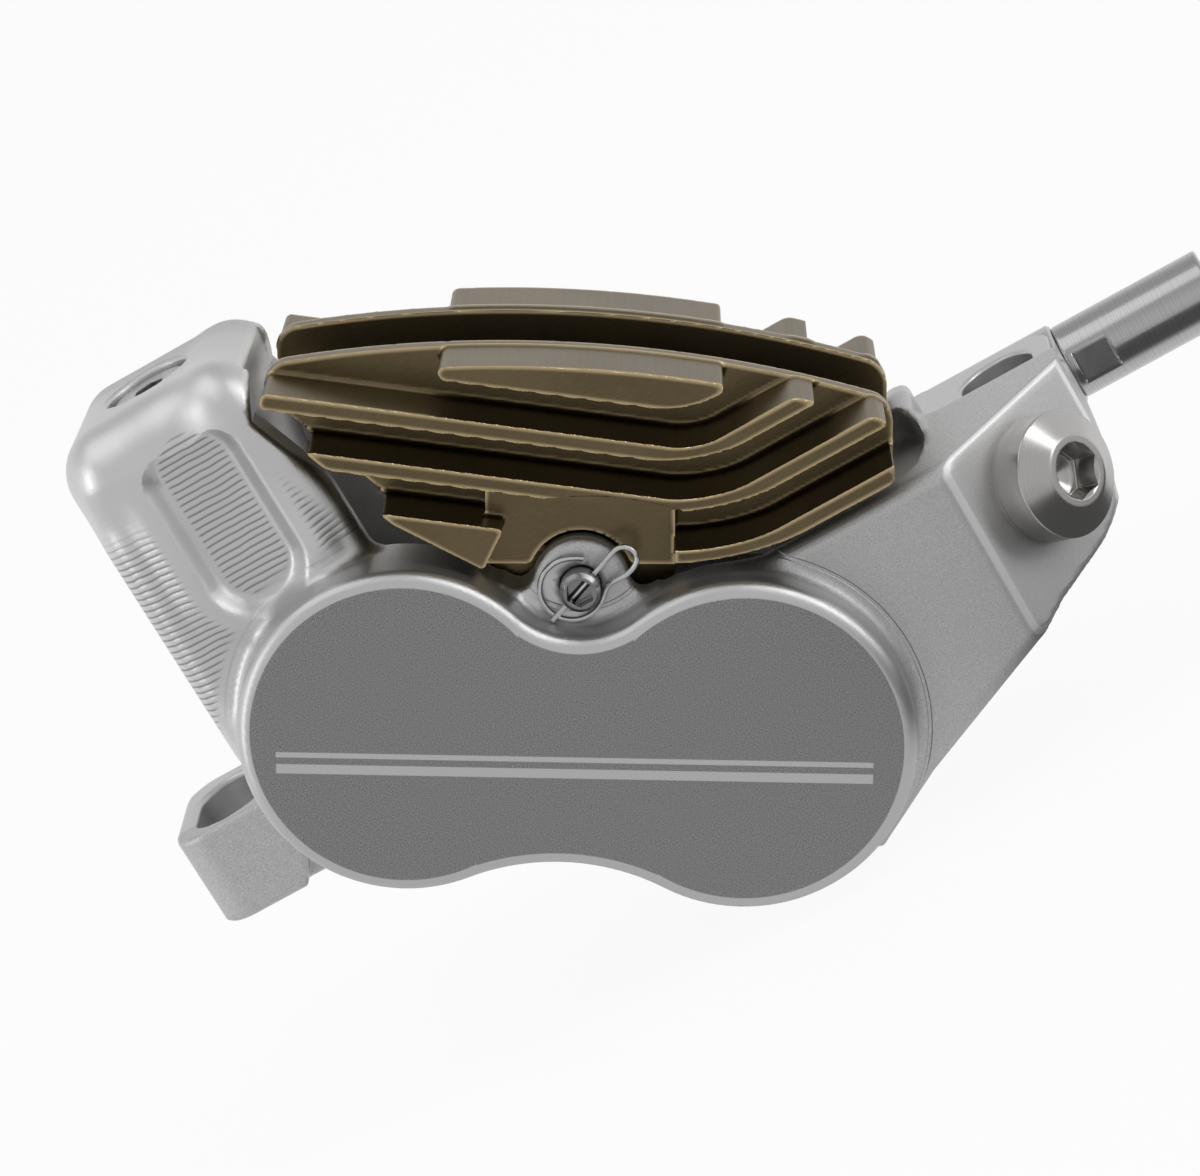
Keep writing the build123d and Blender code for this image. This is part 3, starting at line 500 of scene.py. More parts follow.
class Nodes:
    """Small builder for any node tree."""

    def __init__(self, tree: Tree) -> None:
        """Work on one tree."""
        self.tree = tree

    def node(self, kind: str, *values: object, **settings: object) -> Node:
        """Add a node.

        Args:
            kind: Its type name.
            values: Its first inputs, as sockets, numbers or tuples; None leaves one alone.
            settings: Properties to set on it.

        Returns:
            The node.
        """
        made = self.tree.nodes.new(kind)
        for key, value in settings.items():
            setattr(made, key, value)
        for socket, value in zip(made.inputs, values):
            self.feed(socket, value)
        return made

    def feed(self, socket: Socket, value: object) -> None:
        """Link a socket or set its number.

        Args:
            socket: Input socket.
            value: Output socket, number or tuple; None leaves it alone.
        """
        if isinstance(value, Socket):
            self.tree.links.new(value, socket)
        elif value is not None:
            socket.default_value = value

    def math(self, operation: str, *values: object, clamp: bool = False) -> Socket:
        """Add a Math node, held between 0 and 1 if asked."""
        return self.node("ShaderNodeMath", *values, operation=operation, use_clamp=clamp).outputs[0]

    def times(self, *values: object) -> Socket:
        """Product of the values."""
        return reduce(lambda a, b: self.math("MULTIPLY", a, b), values)

    def plus(self, *values: object) -> Socket:
        """Sum of the values."""
        return reduce(lambda a, b: self.math("ADD", a, b), values)

    def blend(self, value: object, low: float, high: float,
              start: float = 0.0, end: float = 1.0) -> Socket:
        """Smooth step from start, where the value is low, to end, where it is high."""
        return self.node("ShaderNodeMapRange", value, low, high, start, end,
                         interpolation_type="SMOOTHSTEP").outputs[0]

    def level(self, share: object, first: object, second: object) -> Socket:
        """Mix two numbers by the share of the second."""
        return self.node("ShaderNodeMix", share, None, first, second,
                         data_type="FLOAT").outputs[0]

    def split(self, vector: Socket) -> list[Socket]:
        """The three parts of a vector."""
        return list(self.node("ShaderNodeSeparateXYZ", vector).outputs)


class Graph(Nodes):
    """Builder for one material on the Principled shader; lengths in millimetres."""

    def __init__(self, name: str) -> None:
        """Start a material with one shader.

        Args:
            name: Name of the material.
        """
        self.material = bpy.data.materials.new(name)
        self.material.use_nodes = True
        super().__init__(self.material.node_tree)
        self.inputs = self.tree.nodes["Principled BSDF"].inputs
        self._coords: Socket | None = None

    def finish(self, colour: object, roughness: object, metallic: float,
               normal: Socket) -> Material:
        """Feed the shader.

        Args:
            colour: Base colour.
            roughness: Roughness.
            metallic: Share of metal.
            normal: Bent normal.

        Returns:
            The material.
        """
        self.feed(self.inputs["Base Color"], colour)
        self.feed(self.inputs["Roughness"], roughness)
        self.feed(self.inputs["Metallic"], metallic)
        self.feed(self.inputs["Normal"], normal)
        return self.material

    def vector(self, operation: str, *values: object) -> Node:
        """Add a Vector Math node."""
        return self.node("ShaderNodeVectorMath", *values, operation=operation)

    def coords(self) -> Socket:
        """Object coordinates in millimetres.

        Returns:
            A vector socket.
        """
        if self._coords is None:
            scaled = self.vector("SCALE", self.node("ShaderNodeTexCoord").outputs["Object"])
            scaled.inputs["Scale"].default_value = 1 / MM
            self._coords = scaled.outputs[0]
        return self._coords

    def noise(self, scale: float, detail: float = 2.0, stretch: Point3 | None = None,
              roughness: float = 0.5) -> Socket:
        """Noise on the object's coordinates.

        Args:
            scale: Repeats per millimetre.
            detail: Number of octaves.
            stretch: Factors on the three coordinates.
            roughness: Weight of the finer octaves.

        Returns:
            The noise's value.
        """
        made = self.node("ShaderNodeTexNoise")
        source = self.coords()
        if stretch is not None:
            source = self.vector("MULTIPLY", source, stretch).outputs[0]
        for name, value in (("Vector", source), ("Scale", scale), ("Detail", detail),
                            ("Roughness", roughness)):
            self.feed(made.inputs[name], value)
        return made.outputs[0]

    def mix(self, share: object, first: object, second: object) -> Socket:
        """Mix two colours.

        Args:
            share: Weight of the second.
            first, second: The colours.

        Returns:
            The mixed colour.
        """
        made = self.node("ShaderNodeMix", share, data_type="RGBA")
        self.feed(made.inputs[6], first)
        self.feed(made.inputs[7], second)
        return made.outputs[2]

    def bump(self, height: Socket, depth: float, under: Socket | None = None) -> Socket:
        """Bump from a height.

        Args:
            height: Height socket.
            depth: Millimetres of a height of one.
            under: Normal that it is added to.

        Returns:
            The bent normal.
        """
        made = self.node("ShaderNodeBump")
        for name, value in (("Strength", 1.0), ("Distance", depth * MM), ("Height", height),
                            ("Normal", under)):
            self.feed(made.inputs[name], value)
        return made.outputs[0]

    def radius_about(self, origin: Point3, axis: Point3) -> Socket:
        """Distance from an axis.

        Args:
            origin: A point of the axis.
            axis: Its unit direction.

        Returns:
            The distance.
        """
        local = self.vector("SUBTRACT", self.coords(), origin).outputs[0]
        crossed = self.vector("CROSS_PRODUCT", local, axis).outputs[0]
        return self.vector("LENGTH", crossed).outputs["Value"]

    def about_lobe(self, centre: Point2) -> Socket:
        """Distance from an axis along Y, placed in the face frame."""
        x, z = from_face(*centre)
        return self.radius_about((x, 0.0, z), (0.0, 1.0, 0.0))


def dress(pattern: str, words: Iterable[str], material: Material) -> None:
    """Give carried-over CAD nodes a finish.

    Args:
        pattern: Node name with a place for a word.
        words: The words.
        material: The finish.
    """
    for word in words:
        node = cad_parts[pattern.format(word)]
        for slot in node.material_slots:
            slot.material = material
        LOG.info("%s dressed", node.name)


def tint(colour: Point3, factor: float = 1.0) -> tuple[float, float, float, float]:
    """A colour made lighter or darker, with its alpha."""
    return (*(min(part * factor, 1.0) for part in colour), 1.0)


def grey(value: float) -> tuple[float, float, float, float]:
    """A neutral colour of one level."""
    return value, value, value, 1.0


@dataclass(frozen=True)
class BlastedAluminium:
    """Body finish: fine blasted grain, milled arm and two plain stripes on the piston face, with
    painted shade in the arm's scallop valleys and painted highlights on the facet, its border and
    the outer rims.
    """

    name: str = "body_blasted"
    face_level: float = 0.30
    web_level: float = 0.60
    milled_level: float = 0.67
    stripe_level: float = 0.62
    grain: float = 12.0
    scallop_pitch: float = 0.56
    scallop_depth: float = 0.030
    facet_highlight_level: float = 0.90
    rim_highlight_level: float = 0.62
    scallop_r: float = 4.0
    step_depth: float = 0.10
    tooth_depth: float = 0.020
    stripe_x: Point2 = (-29.7, 17.0)
    stripe_fall: float = 0.0144
    stripes: tuple[Point2, Point2] = ((3.04, 3.53), (1.71, 2.55))

    def build(self) -> Material:
        """Make the material.

        Returns:
            The material.
        """
        g = Graph(self.name)
        x, y, z = g.split(g.coords())
        lobes = self._lobes(g, x, z)
        on_face = g.times(g.blend(lobes, -1.02, -1.14), g.blend(y, -14.4, -14.6))
        blasted = self._blasted(g, x, y, z)
        grain = g.noise(self.grain, 3.0, roughness=0.7)
        speck = g.blend(grain, 0.28, 0.72)

        def speckled(level: float, dark: float, light: float) -> Socket:
            """A grey with the blasting's specks."""
            return g.mix(speck, grey(level * dark), grey(level * light))

        # Painted highlight: the facet is laid a little lighter and its rounded border in a
        # near-white grey, for the light they catch.
        web = g.mix(self._facet(g, x, y), speckled(self.web_level, 0.74, 1.22),
                    grey(self.facet_highlight_level))
        striped = g.mix(self._stripes(g, x, z), speckled(self.face_level, 0.36, 1.62),
                        speckled(self.stripe_level, 0.88, 1.10))
        milled = g.mix(g.blend(g.noise(0.06), 0.3, 0.7), grey(self.milled_level * 0.93),
                       grey(self.milled_level * 1.07))
        scallops, zone = self._scallops(g, x, y, z)
        # Painted shade: the milled grey is darkened towards 0.42 of its level in the valleys
        # between the scallops.
        valley = g.times(g.blend(scallops, 0.80, 0.0), zone)
        milled = g.mix(valley, milled, grey(self.milled_level * 0.42))
        # Painted highlight: the milled grey outboard of |y| 12.5, the lobes' rims and the ears
        # among it, is swapped for a lighter grey for the light these rims catch.
        milled = g.mix(g.blend(g.math("ABSOLUTE", y), 11.9, 12.5), milled, grey(self.rim_highlight_level))
        colour = g.mix(on_face, g.mix(blasted, milled, web), striped)
        rough = g.plus(0.35, g.times(blasted, 0.11), g.times(on_face, 0.14), g.times(grain, 0.10))
        bent = g.bump(g.times(scallops, zone), self.scallop_depth)
        bent = g.bump(self._steps(g, lobes, x, y), self.step_depth, bent)
        tooth = g.times(grain, g.plus(0.25, g.times(blasted, 0.75)))
        return g.finish(colour, rough, 1.0, g.bump(tooth, self.tooth_depth, bent))

    def _lobes(self, g: Graph, x: Socket, z: Socket) -> Socket:
        """Signed distance from the outline of the piston lobes.

        Args:
            g: The material's graph.
            x, z: Coordinate sockets.

        Returns:
            The distance in millimetres.
        """
        def rim(centre: Point2, radius: float) -> Socket:
            """Distance outside one circle of the face."""
            return g.math("SUBTRACT", g.about_lobe(centre), radius)

        discs = g.math("MINIMUM", rim(BODY.lead, BODY.lead_r), rim(BODY.trail, BODY.trail_r))
        waists = BODY.waists()
        waist = g.math("MAXIMUM", *(g.times(rim(*w), -1.0) for w in waists))
        corners = [from_face(*p) for p in (BODY.lead, waists[0][0], BODY.trail, waists[1][0])]
        for start, end in zip(corners, [*corners[1:], corners[0]]):
            run = Vector((end[0] - start[0], end[1] - start[1])).normalized()
            side = g.math("MULTIPLY_ADD", x, -run.y, start[0] * run.y - start[1] * run.x)
            waist = g.math("MAXIMUM", waist, g.math("MULTIPLY_ADD", z, run.x, side))
        return g.math("MINIMUM", discs, waist)

    def _steps(self, g: Graph, lobes: Socket, x: Socket, y: Socket) -> Socket:
        """Height of the two fine cutter steps round the lobes' feet.

        Args:
            g: The material's graph.
            lobes: Distance from the lobes' outline.
            x, y: Coordinate sockets.

        Returns:
            The height, from 0 to 1.
        """
        inner = g.blend(lobes, BODY.foot_r + 0.02, BODY.foot_r + 0.12)
        outer = g.blend(lobes, BODY.foot_r + 0.32, BODY.foot_r + 0.42)
        return g.times(g.plus(g.times(inner, -0.6), outer), g.blend(x, -4.0, 6.0, 0.25, 1.0),
                       g.blend(y, -9.0, -9.9), g.blend(y, -12.5, -12.0))

    def _facet(self, g: Graph, x: Socket, y: Socket) -> Socket:
        """Mask of the facet's painted lighter tone and, stronger, of the painted highlight along
        its rounded border.

        Args:
            g: The material's graph.
            x, y: Coordinate sockets.

        Returns:
            The mask.
        """
        reach = g.math("SUBTRACT", g.math("SUBTRACT", x, y), BODY.facet_reach)
        border_highlight = g.times(g.blend(reach, -0.5, -0.3), g.blend(reach, -0.03, -0.10))
        return g.math("MULTIPLY_ADD", g.blend(reach, -0.12, -0.04), 0.22, border_highlight, clamp=True)

    def _stripes(self, g: Graph, x: Socket, z: Socket) -> Socket:
        """Mask of the two plain stripes across the piston face.

        Args:
            g: The material's graph.
            x, z: Coordinate sockets.

        Returns:
            The mask.
        """
        along = g.plus(g.times(x, TURN_COS), g.times(z, -TURN_SIN))
        across = g.plus(g.times(x, TURN_SIN), g.times(z, TURN_COS))
        start, end = self.stripe_x
        level = g.plus(across, g.times(g.plus(along, -start), self.stripe_fall))
        bands = [g.times(g.blend(level, low, low + 0.06), g.blend(level, high, high - 0.06))
                 for low, high in self.stripes]
        return g.times(g.plus(*bands), g.blend(along, start - 0.06, start + 0.04),
                       g.blend(along, end, end - 0.1))

    def _blasted(self, g: Graph, x: Socket, y: Socket, z: Socket) -> Socket:
        """Mask of the blasted walls: all but the milled arm and the lobes' rims.

        Args:
            g: The material's graph.
            x, y, z: Coordinate sockets.

        Returns:
            The mask.
        """
        right = g.blend(g.math("MULTIPLY_ADD", z, 0.2, x), 4.0, 8.0)
        walls = g.math("MAXIMUM", right, g.blend(y, 1.0, 6.0))
        return g.times(walls, g.blend(g.math("ABSOLUTE", y), 12.6, 11.6))

    def _scallops(self, g: Graph, x: Socket, y: Socket, z: Socket) -> tuple[Socket, Socket]:
        """Height of the ball-cutter scallops and where they lie on the left arm.

        Args:
            g: The material's graph.
            x, y, z: Coordinate sockets.

        Returns:
            The height, from 0 to 1, and the mask.
        """
        aside = g.math("SUBTRACT", x, ARM.pocket_x)
        held = g.math("MINIMUM", g.math("MAXIMUM", z, ARM.pocket_low), ARM.pocket_high)
        offset = g.math("SUBTRACT", z, held)
        reach = g.math("SQRT", g.plus(g.times(aside, aside), g.times(offset, offset)))
        ring = g.math("SUBTRACT", reach, self.scallop_r)
        slope, start, size = ARM.flank_line
        flank = g.times(g.math("SUBTRACT", start, g.plus(x, g.times(z, slope))), 1 / size)
        outer = g.times(g.blend(ring, 1.2, 2.0), g.blend(flank, 1.4, 2.6), g.blend(z, 38.5, 35.0))
        lobe = g.about_lobe(BODY.lead)
        zone = g.times(g.math("ADD", g.blend(ring, -1.1, -1.5), outer, clamp=True),
                       g.blend(y, -7.0, -8.4), g.blend(y, -11.6, -11.0),
                       g.blend(lobe, BODY.lead_r + 1.6, BODY.lead_r + 2.4), g.blend(x, 2.0, -2.0))
        wobble = g.times(g.noise(0.5, 1.0), 0.22)
        phase = g.times(g.plus(z, wobble), math.pi / self.scallop_pitch)
        return g.math("ABSOLUTE", g.math("SINE", phase)), zone


@dataclass(frozen=True)
class BronzeAnodised:
    """Satin anodised radiator with a painted highlight along its convex edges; UV x is the edge
    distance.
    """

    name: str = "radiator_bronze"
    colour: Point3 = (0.158, 0.123, 0.068)
    edge_highlight_colour: Point3 = (0.60, 0.47, 0.27)
    edge_width: float = 0.38
    edge_depth: float = 0.045
    roughness: float = 0.34

    def build(self) -> Material:
        """Make the material.

        Returns:
            The material.
        """
        g = Graph(self.name)
        fine = g.noise(7.0, 3.0)
        drawn = g.noise(1.2, 3.0, stretch=(1.0, 0.08, 6.0))
        cloud = g.noise(0.09)
        edge = g.split(g.node("ShaderNodeTexCoord").outputs["UV"])[0]
        # Painted highlight: a band of bright gold along the outer edges, its width wavering with
        # the cloud noise, stands in for light caught on the edges.
        highlight_reach = g.math("MULTIPLY_ADD", g.math("SUBTRACT", cloud, 0.5), 0.16, edge)
        rim = g.blend(highlight_reach, self.edge_width, 0.0)
        share = g.plus(g.times(cloud, 0.6), g.times(drawn, 0.4))
        satin = g.mix(g.blend(share, 0.3, 0.7), tint(self.colour, 0.84), tint(self.colour, 1.14))
        rough = g.plus(self.roughness - 0.06, g.times(fine, 0.12), g.times(rim, -0.04))
        bent = g.bump(g.blend(edge, 0.0, self.edge_width), self.edge_depth)
        bent = g.bump(fine, 0.004, g.bump(drawn, 0.005, bent))
        return g.finish(g.mix(rim, satin, tint(self.edge_highlight_colour)), rough, 1.0, bent)


@dataclass(frozen=True)
class TurnedMetal:
    """Turned or drawn metal with rings about an axis."""

    name: str
    colour: Point3
    roughness: float
    origin: Point3
    axis: Point3
    pitch: float = 0.16
    depth: float = 0.004

    def build(self) -> Material:
        """Make the material.

        Returns:
            The material.
        """
        g = Graph(self.name)
        along = g.vector("DOT_PRODUCT", g.coords(), self.axis).outputs["Value"]
        rings = g.node("ShaderNodeTexNoise", noise_dimensions="1D")
        path = g.math("SUBTRACT", g.radius_about(self.origin, self.axis), along)
        for name, value in (("W", path), ("Scale", 1.0 / self.pitch), ("Detail", 4.0)):
            g.feed(rings.inputs[name], value)
        ring = rings.outputs[0]
        colour = g.mix(g.blend(ring, 0.3, 0.7), tint(self.colour, 0.92), tint(self.colour, 1.06))
        rough = g.plus(self.roughness - 0.06, g.times(g.noise(0.8, 3.0), 0.12))
        return g.finish(colour, rough, 1.0, g.bump(ring, self.depth))


@dataclass(frozen=True)
class StampedSteel:
    """Stamped, sintered or ground metal with an even fine grain."""

    name: str
    colour: Point3
    metallic: float
    roughness: float
    grain: float
    depth: float
    contrast: float = 0.2

    def build(self) -> Material:
        """Make the material.

        Returns:
            The material.
        """
        g = Graph(self.name)
        fine = g.noise(self.grain, 4.0, roughness=0.6)
        cloud = g.noise(0.25)
        share = g.plus(g.times(fine, 0.7), g.times(cloud, 0.3))
        colour = g.mix(g.blend(share, 0.35, 0.65), tint(self.colour, 1 - self.contrast),
                       tint(self.colour, 1 + self.contrast))
        rough = g.plus(self.roughness - 0.075, g.times(cloud, 0.15))
        return g.finish(colour, rough, self.metallic, g.bump(fine, self.depth))


# ---- Caliper body ----------------------------------------------------------------------------


@dataclass(frozen=True)
class ArmShape:
    """Left arm with its open pocket, ridge and valley."""

    side_x: float = -28.9
    top: float = 46.3
    foot: Point2 = (-24.0, 5.0)
    foot_z: float = 14.5
    corner_r: float = 4.0
    shoulder_x: float = -10.3
    shoulder_r: float = 6.0
    side_edge_r: float = 2.8
    top_edge_r: float = 4.6
    pocket_x: float = -18.7
    pocket_low: float = 30.8
    pocket_high: float = 39.8
    pocket_r: float = 4.3
    pocket_depth: float = 1.5
    valley_depth: float = 0.85
    dish_depth: float = 1.2
    dish_wide: float = 3.4
    crown_dip: float = 0.5
    flank: tuple[Point2, ...] = ((-32.2, 35.1), (-31.4, 28.8), (-17.7, 17.3))
    flank_line: Point3 = (0.381, 2.65, 1.07)

    def relief(self, x: Array, z: Array) -> Array:
        """Depth of the milled front below the wall's flat level.

        Args:
            x, z: Coordinates in the mounting frame.

        Returns:
            Depth in millimetres.
        """
        ring = stadium(x, z, (self.pocket_x, self.pocket_low), (self.pocket_x, self.pocket_high),
                       self.pocket_r)
        open_top = 1 - smooth(z, self.pocket_high - 0.5, self.pocket_high + 4.5)
        floor = self.pocket_depth * (1 - smooth(ring, -1.5, 0.3)) * open_top
        slope, start, size = self.flank_line
        beside_flank = (start - (x + slope * z)) / size
        valley = smooth(ring, 0.9, 3.2) * smooth(beside_flank, 0.5, 3.6)
        valley *= 1 - smooth(z, 38.0, 42.5)
        dish = self.dish_depth * np.exp(-((x - self.pocket_x) / self.dish_wide) ** 2)
        floor = np.maximum(floor, dish * smooth(z, self.pocket_high - 2.0, self.pocket_high + 3.0))
        return floor + self.valley_depth * valley * smooth(-8.0 - x, -4.0, 2.0)

    def shape(self, x: Array, z: Array, front: Array, back: Array) -> Array:
        """The arm as a solid.

        Args:
            x, z: Coordinates in the mounting frame.
            front: Signed distance beyond the front level.
            back: Signed distance beyond the back level.

        Returns:
            Signed distance.
        """
        dip = self.crown_dip * (1 - smooth(x, -17.0, -13.0))
        left, top = self.side_x - x, z - self.top + dip
        foot = half_plane(x, z, (self.side_x, self.foot_z), self.foot)
        crown = both(top, x - self.shoulder_x, self.shoulder_r)
        outer = both(both(left, crown, self.corner_r), foot, 1.6)
        lead = from_face(*BODY.lead)
        flank = [from_face(*p) for p in self.flank]
        solid = polygon(x, z, [(-60.0, 80.0), (flank[0][0], 80.0), *flank, lead, (-60.0, 0.0)])
        rounding = self.side_edge_r + (self.top_edge_r - self.side_edge_r) * smooth(z, 36.0, 44.0)
        block = both(both(outer, back, rounding), front, rounding)
        return both(block, solid, 0.45)


@dataclass(frozen=True)
class BodyShape:
    """Monobloc body as one distance field."""

    lead: Point2 = (-19.66, 4.9)
    trail: Point2 = (6.93, 3.85)
    lead_r: float = 13.15
    trail_r: float = 13.5
    lead_bore: float = 8.0
    trail_bore: float = 8.5
    top_waist: float = 7.0
    low_waist: float = 18.0
    pin: Point2 = (-5.94, 15.84)
    boss_r: float = 3.8
    boss_blend: float = 1.5
    lobe_y: float = 15.0
    rim_r: float = 1.2
    wall_y: float = 10.6
    foot_r: float = 0.95
    arm_top: float = 11.3
    arm_end: float = 43.0
    facet_reach: float = 42.5
    corner_reach: float = 38.9
    plug_foot: Point3 = (37.45, -5.05, 4.94)
    ear_height: float = 8.4
    slot_x: float = 37.1
    slot_y: float = 14.9
    cavity_y: float = 6.5
    bore_end: float = 12.3
    port: Point3 = (42.3, 24.3, 3.95)
    bleed_x: float = -20.6

    def lobes(self, fx: Array, fz: Array) -> Array:
        """Outline of both piston lobes.

        Args:
            fx, fz: Coordinates along and across the pistons.

        Returns:
            Signed distance in the plane.
        """
        discs = np.minimum(circle(fx, fz, self.lead, self.lead_r),
                           circle(fx, fz, self.trail, self.trail_r))
        (top, top_r), (low, low_r) = self.waists()
        waist = polygon(fx, fz, [self.lead, top, self.trail, low])
        waist = np.maximum(waist, -circle(fx, fz, top, top_r))
        return np.minimum(discs, np.maximum(waist, -circle(fx, fz, low, low_r)))

    def waists(self) -> tuple[tuple[Point2, float], tuple[Point2, float]]:
        """Circles of the upper and the lower waist."""
        return tuple((touching_centre(self.lead, self.lead_r, self.trail, self.trail_r, r, above),
                      r) for r, above in ((self.top_waist, True), (self.low_waist, False)))

    def bores(self) -> list[tuple[str, Point2, float]]:
        """Word, place in X and Z, and bore radius of the two pistons of a side."""
        return [("lead", from_face(*self.lead), self.lead_bore),
                ("trail", from_face(*self.trail), self.trail_bore)]

    def boss(self, fx: Array, fz: Array) -> Array:
        """Outline of the pin boss and its hollow blends.

        Args:
            fx, fz: Coordinates along and across the pistons.

        Returns:
            Signed distance in the plane.
        """
        left = touching_centre(self.lead, self.lead_r, self.pin, self.boss_r, self.boss_blend,
                               True)
        right = touching_centre(self.pin, self.boss_r, self.trail, self.trail_r, self.boss_blend,
                                True)
        core = polygon(fx, fz, [self.lead, left, self.pin, right, self.trail])
        core = np.maximum(core, -circle(fx, fz, left, self.boss_blend))
        core = np.maximum(core, -circle(fx, fz, right, self.boss_blend))
        return np.minimum(circle(fx, fz, self.pin, self.boss_r), core)

    def right_arm(self, x: Array, y: Array, z: Array, slab: Array) -> Array:
        """Deep arm on the hose side with the 45 degree facet.

        Args:
            x, y, z: Coordinates in the mounting frame.
            slab: Signed distance of the wall's slab.

        Returns:
            Signed distance.
        """
        root = from_face(*self.trail)
        outline = polygon(x, z, [(root[0], self.arm_top), (self.arm_end, self.arm_top),
                                 (self.arm_end, -2.0), (34.7, -4.0), (19.2, -10.8),
                                 (12.7, -14.4), (root[0], -12.8)])
        corner = x * 0.906 - z * 0.423 - self.corner_reach
        front = both(both(outline, corner, 2.5), slab, 1.3)
        front = both(front, (x - y - self.facet_reach) * math.sqrt(0.5), 0.55)
        rear_outline = polygon(x, z, [(root[0], self.arm_top), (30.4, self.arm_top), (30.4, 0.0),
                                      (19.2, -10.8), root])
        rear = both(rear_outline, between(y, 0.0, 14.0), 0.8)
        bump = both(circle(x, z, (29.3, 9.9), 2.3), between(y, 0.0, 14.0), 0.5)
        return either(front, either(rear, bump, 0.8), 0.4)

    def ears(self, x: Array, y: Array, z: Array, fx: Array) -> Array:
        """Both mounting ears, the shoulder behind the left one and the port boss.

        Args:
            x, y, z: Coordinates in the mounting frame.
            fx: X along the pistons.

        Returns:
            Signed distance.
        """
        layer = between(z, 0.0, self.ear_height)
        left_plan = both(between(x, -42.1, -14.0), between(y, 8.3, 22.5), 3.0)
        left = both(left_plan, layer, 0.45)
        trim = both(-29.3 - fx, y - 10.3, 0.0)
        left = without(left, trim, 0.3)
        right_plan = both(between(x, 22.0, 42.1), between(y, 6.5, 22.5), 3.0)
        right = both(np.maximum(right_plan, 28.0 - x), layer, 0.45)
        shoulder = polygon(x, z, [(-30.2, 4.2), (-30.2, 8.4), (-28.9, 24.0), (-20.0, 24.0),
                                  (-20.0, 4.2)])
        shoulder = both(shoulder, between(y, 9.0, 15.0), 1.2)
        barrel = both(np.hypot(y - self.port[1], z - self.port[2]) - 3.7,
                      between(x, 28.0, self.port[0]), 0.4)
        return either(either(left, shoulder, 1.2), either(right, barrel, 1.0), 0.0)

    def cuts(self, body: Array, x: Array, y: Array, z: Array, fx: Array, fz: Array) -> Array:
        """Take every bore, slot and the pad cavity out of the body.

        Args:
            body: Signed distance of the blank.
            x, y, z: Coordinates in the mounting frame.
            fx, fz: Coordinates along and across the pistons.

        Returns:
            Signed distance of the finished body.
        """
        room = both(both(30.5 - x, 4.45 - y, 3.0), self.ear_height - z, 1.2)
        body = without(body, room, 0.5)
        relief = np.maximum(np.maximum(28.0 - x, 6.5 - y), z)
        body = without(body, relief, 0.3)
        pocket = both(circle(x, y, (10.9, 0.0), 20.0), np.abs(y) - 8.6, 2.0)
        pocket = both(np.maximum(pocket, -x), 9.1 - z, 0.6)
        body = without(body, pocket, 0.35)
        outline = polygon(fx, fz, [(-28.4, -60.0), (16.2, -60.0), (16.2, 60.0), (-35.4, 60.0),
                                   (-35.4, 39.6), (-28.4, 22.5)])
        body = without(body, np.maximum(outline, np.abs(y) - self.cavity_y), 0.4)
        rotor = np.maximum(circle(fx, fz, (self.pin[0], -77.0), 92.0), np.abs(y) - 2.3)
        body = without(body, rotor, 0.3)
        for centre, radius in ((self.lead, self.lead_bore), (self.trail, self.trail_bore)):
            bore = circle(fx, fz, centre, radius)
            body = without(body, np.maximum(bore, np.abs(y) - self.bore_end), 0.2)
            groove = np.maximum(bore - 1.6, between(np.abs(y), 8.2, 10.3))
            body = without(body, groove)
            body = without(body, np.maximum(bore - 2.2, self.bore_end - y), 0.4)
        body = without(body, circle(fx, fz, self.pin, 1.65), 0.25)
        for x_slot in (-self.slot_x, self.slot_x):
            slot = stadium(x, y, (x_slot, self.slot_y - 2.0), (x_slot, self.slot_y + 2.0), 3.3)
            body = without(body, np.maximum(slot, between(z, -5.0, self.ear_height + 5)), 0.4)
        recess = np.hypot(x - self.bleed_x, y)
        body = without(body, both(recess - 3.7, ARM.top - 3.7 - z, 0.4), 0.45)
        body = without(body, np.maximum(recess - 2.55, ARM.top - 10.6 - z))
        bore = np.hypot(y - self.port[1], z - self.port[2]) - 2.45
        body = without(body, np.maximum(bore, 33.7 - x), 0.3)
        plug = circle(x, z, (30.0, 4.4), 1.5)
        body = without(body, np.maximum(plug, 25.8 - y), 0.25)
        foot = self.plug_foot
        along = (x - foot[0] - y + foot[1]) * math.sqrt(0.5)
        aside = np.hypot((x - foot[0] + y - foot[1]) * math.sqrt(0.5), z - foot[2])
        return without(body, np.maximum(aside - 3.55, -6.7 - along), 0.2)

    def field(self, x: Array, y: Array, z: Array) -> Array:
        """The finished body.

        Args:
            x, y, z: Coordinates in the mounting frame.

        Returns:
            Signed distance.
        """
        fx, fz = to_face(x, z)
        lobes = self.lobes(fx, fz)
        front = -y - self.wall_y + ARM.relief(x, z)
        back = y - self.wall_y
        slab = np.maximum(front, back)
        wall = both(self.boss(fx, fz), slab, 0.7)
        wall = either(wall, ARM.shape(x, z, front, back), 1.2)
        wall = either(wall, self.right_arm(x, y, z, slab), 1.2)
        body = either(both(lobes, np.abs(y) - self.lobe_y, self.rim_r), wall, self.foot_r)
        body = either(body, self.ears(x, y, z, fx), 1.0)
        return self.cuts(body, x, y, z, fx, fz)


ARM = ArmShape()
BODY = BodyShape()


@dataclass
class CaliperBody:
    """Sub-assembly: the monobloc body."""

    finish: BlastedAluminium = BlastedAluminium()
    box: tuple[Point3, Point3] = ((-43.3, -16.2, -15.9), (44.2, 29.2, 47.6))
    steps: Point2 = (0.5, 1.0)

    def build(self) -> Object:
        """Make the body."""
        return carve("body_monobloc", "caliper_body", Body.CALIPER,
                     self.finish.build(), BODY.field, self.box, self.steps)


# ---- Brake pads ------------------------------------------------------------------------------


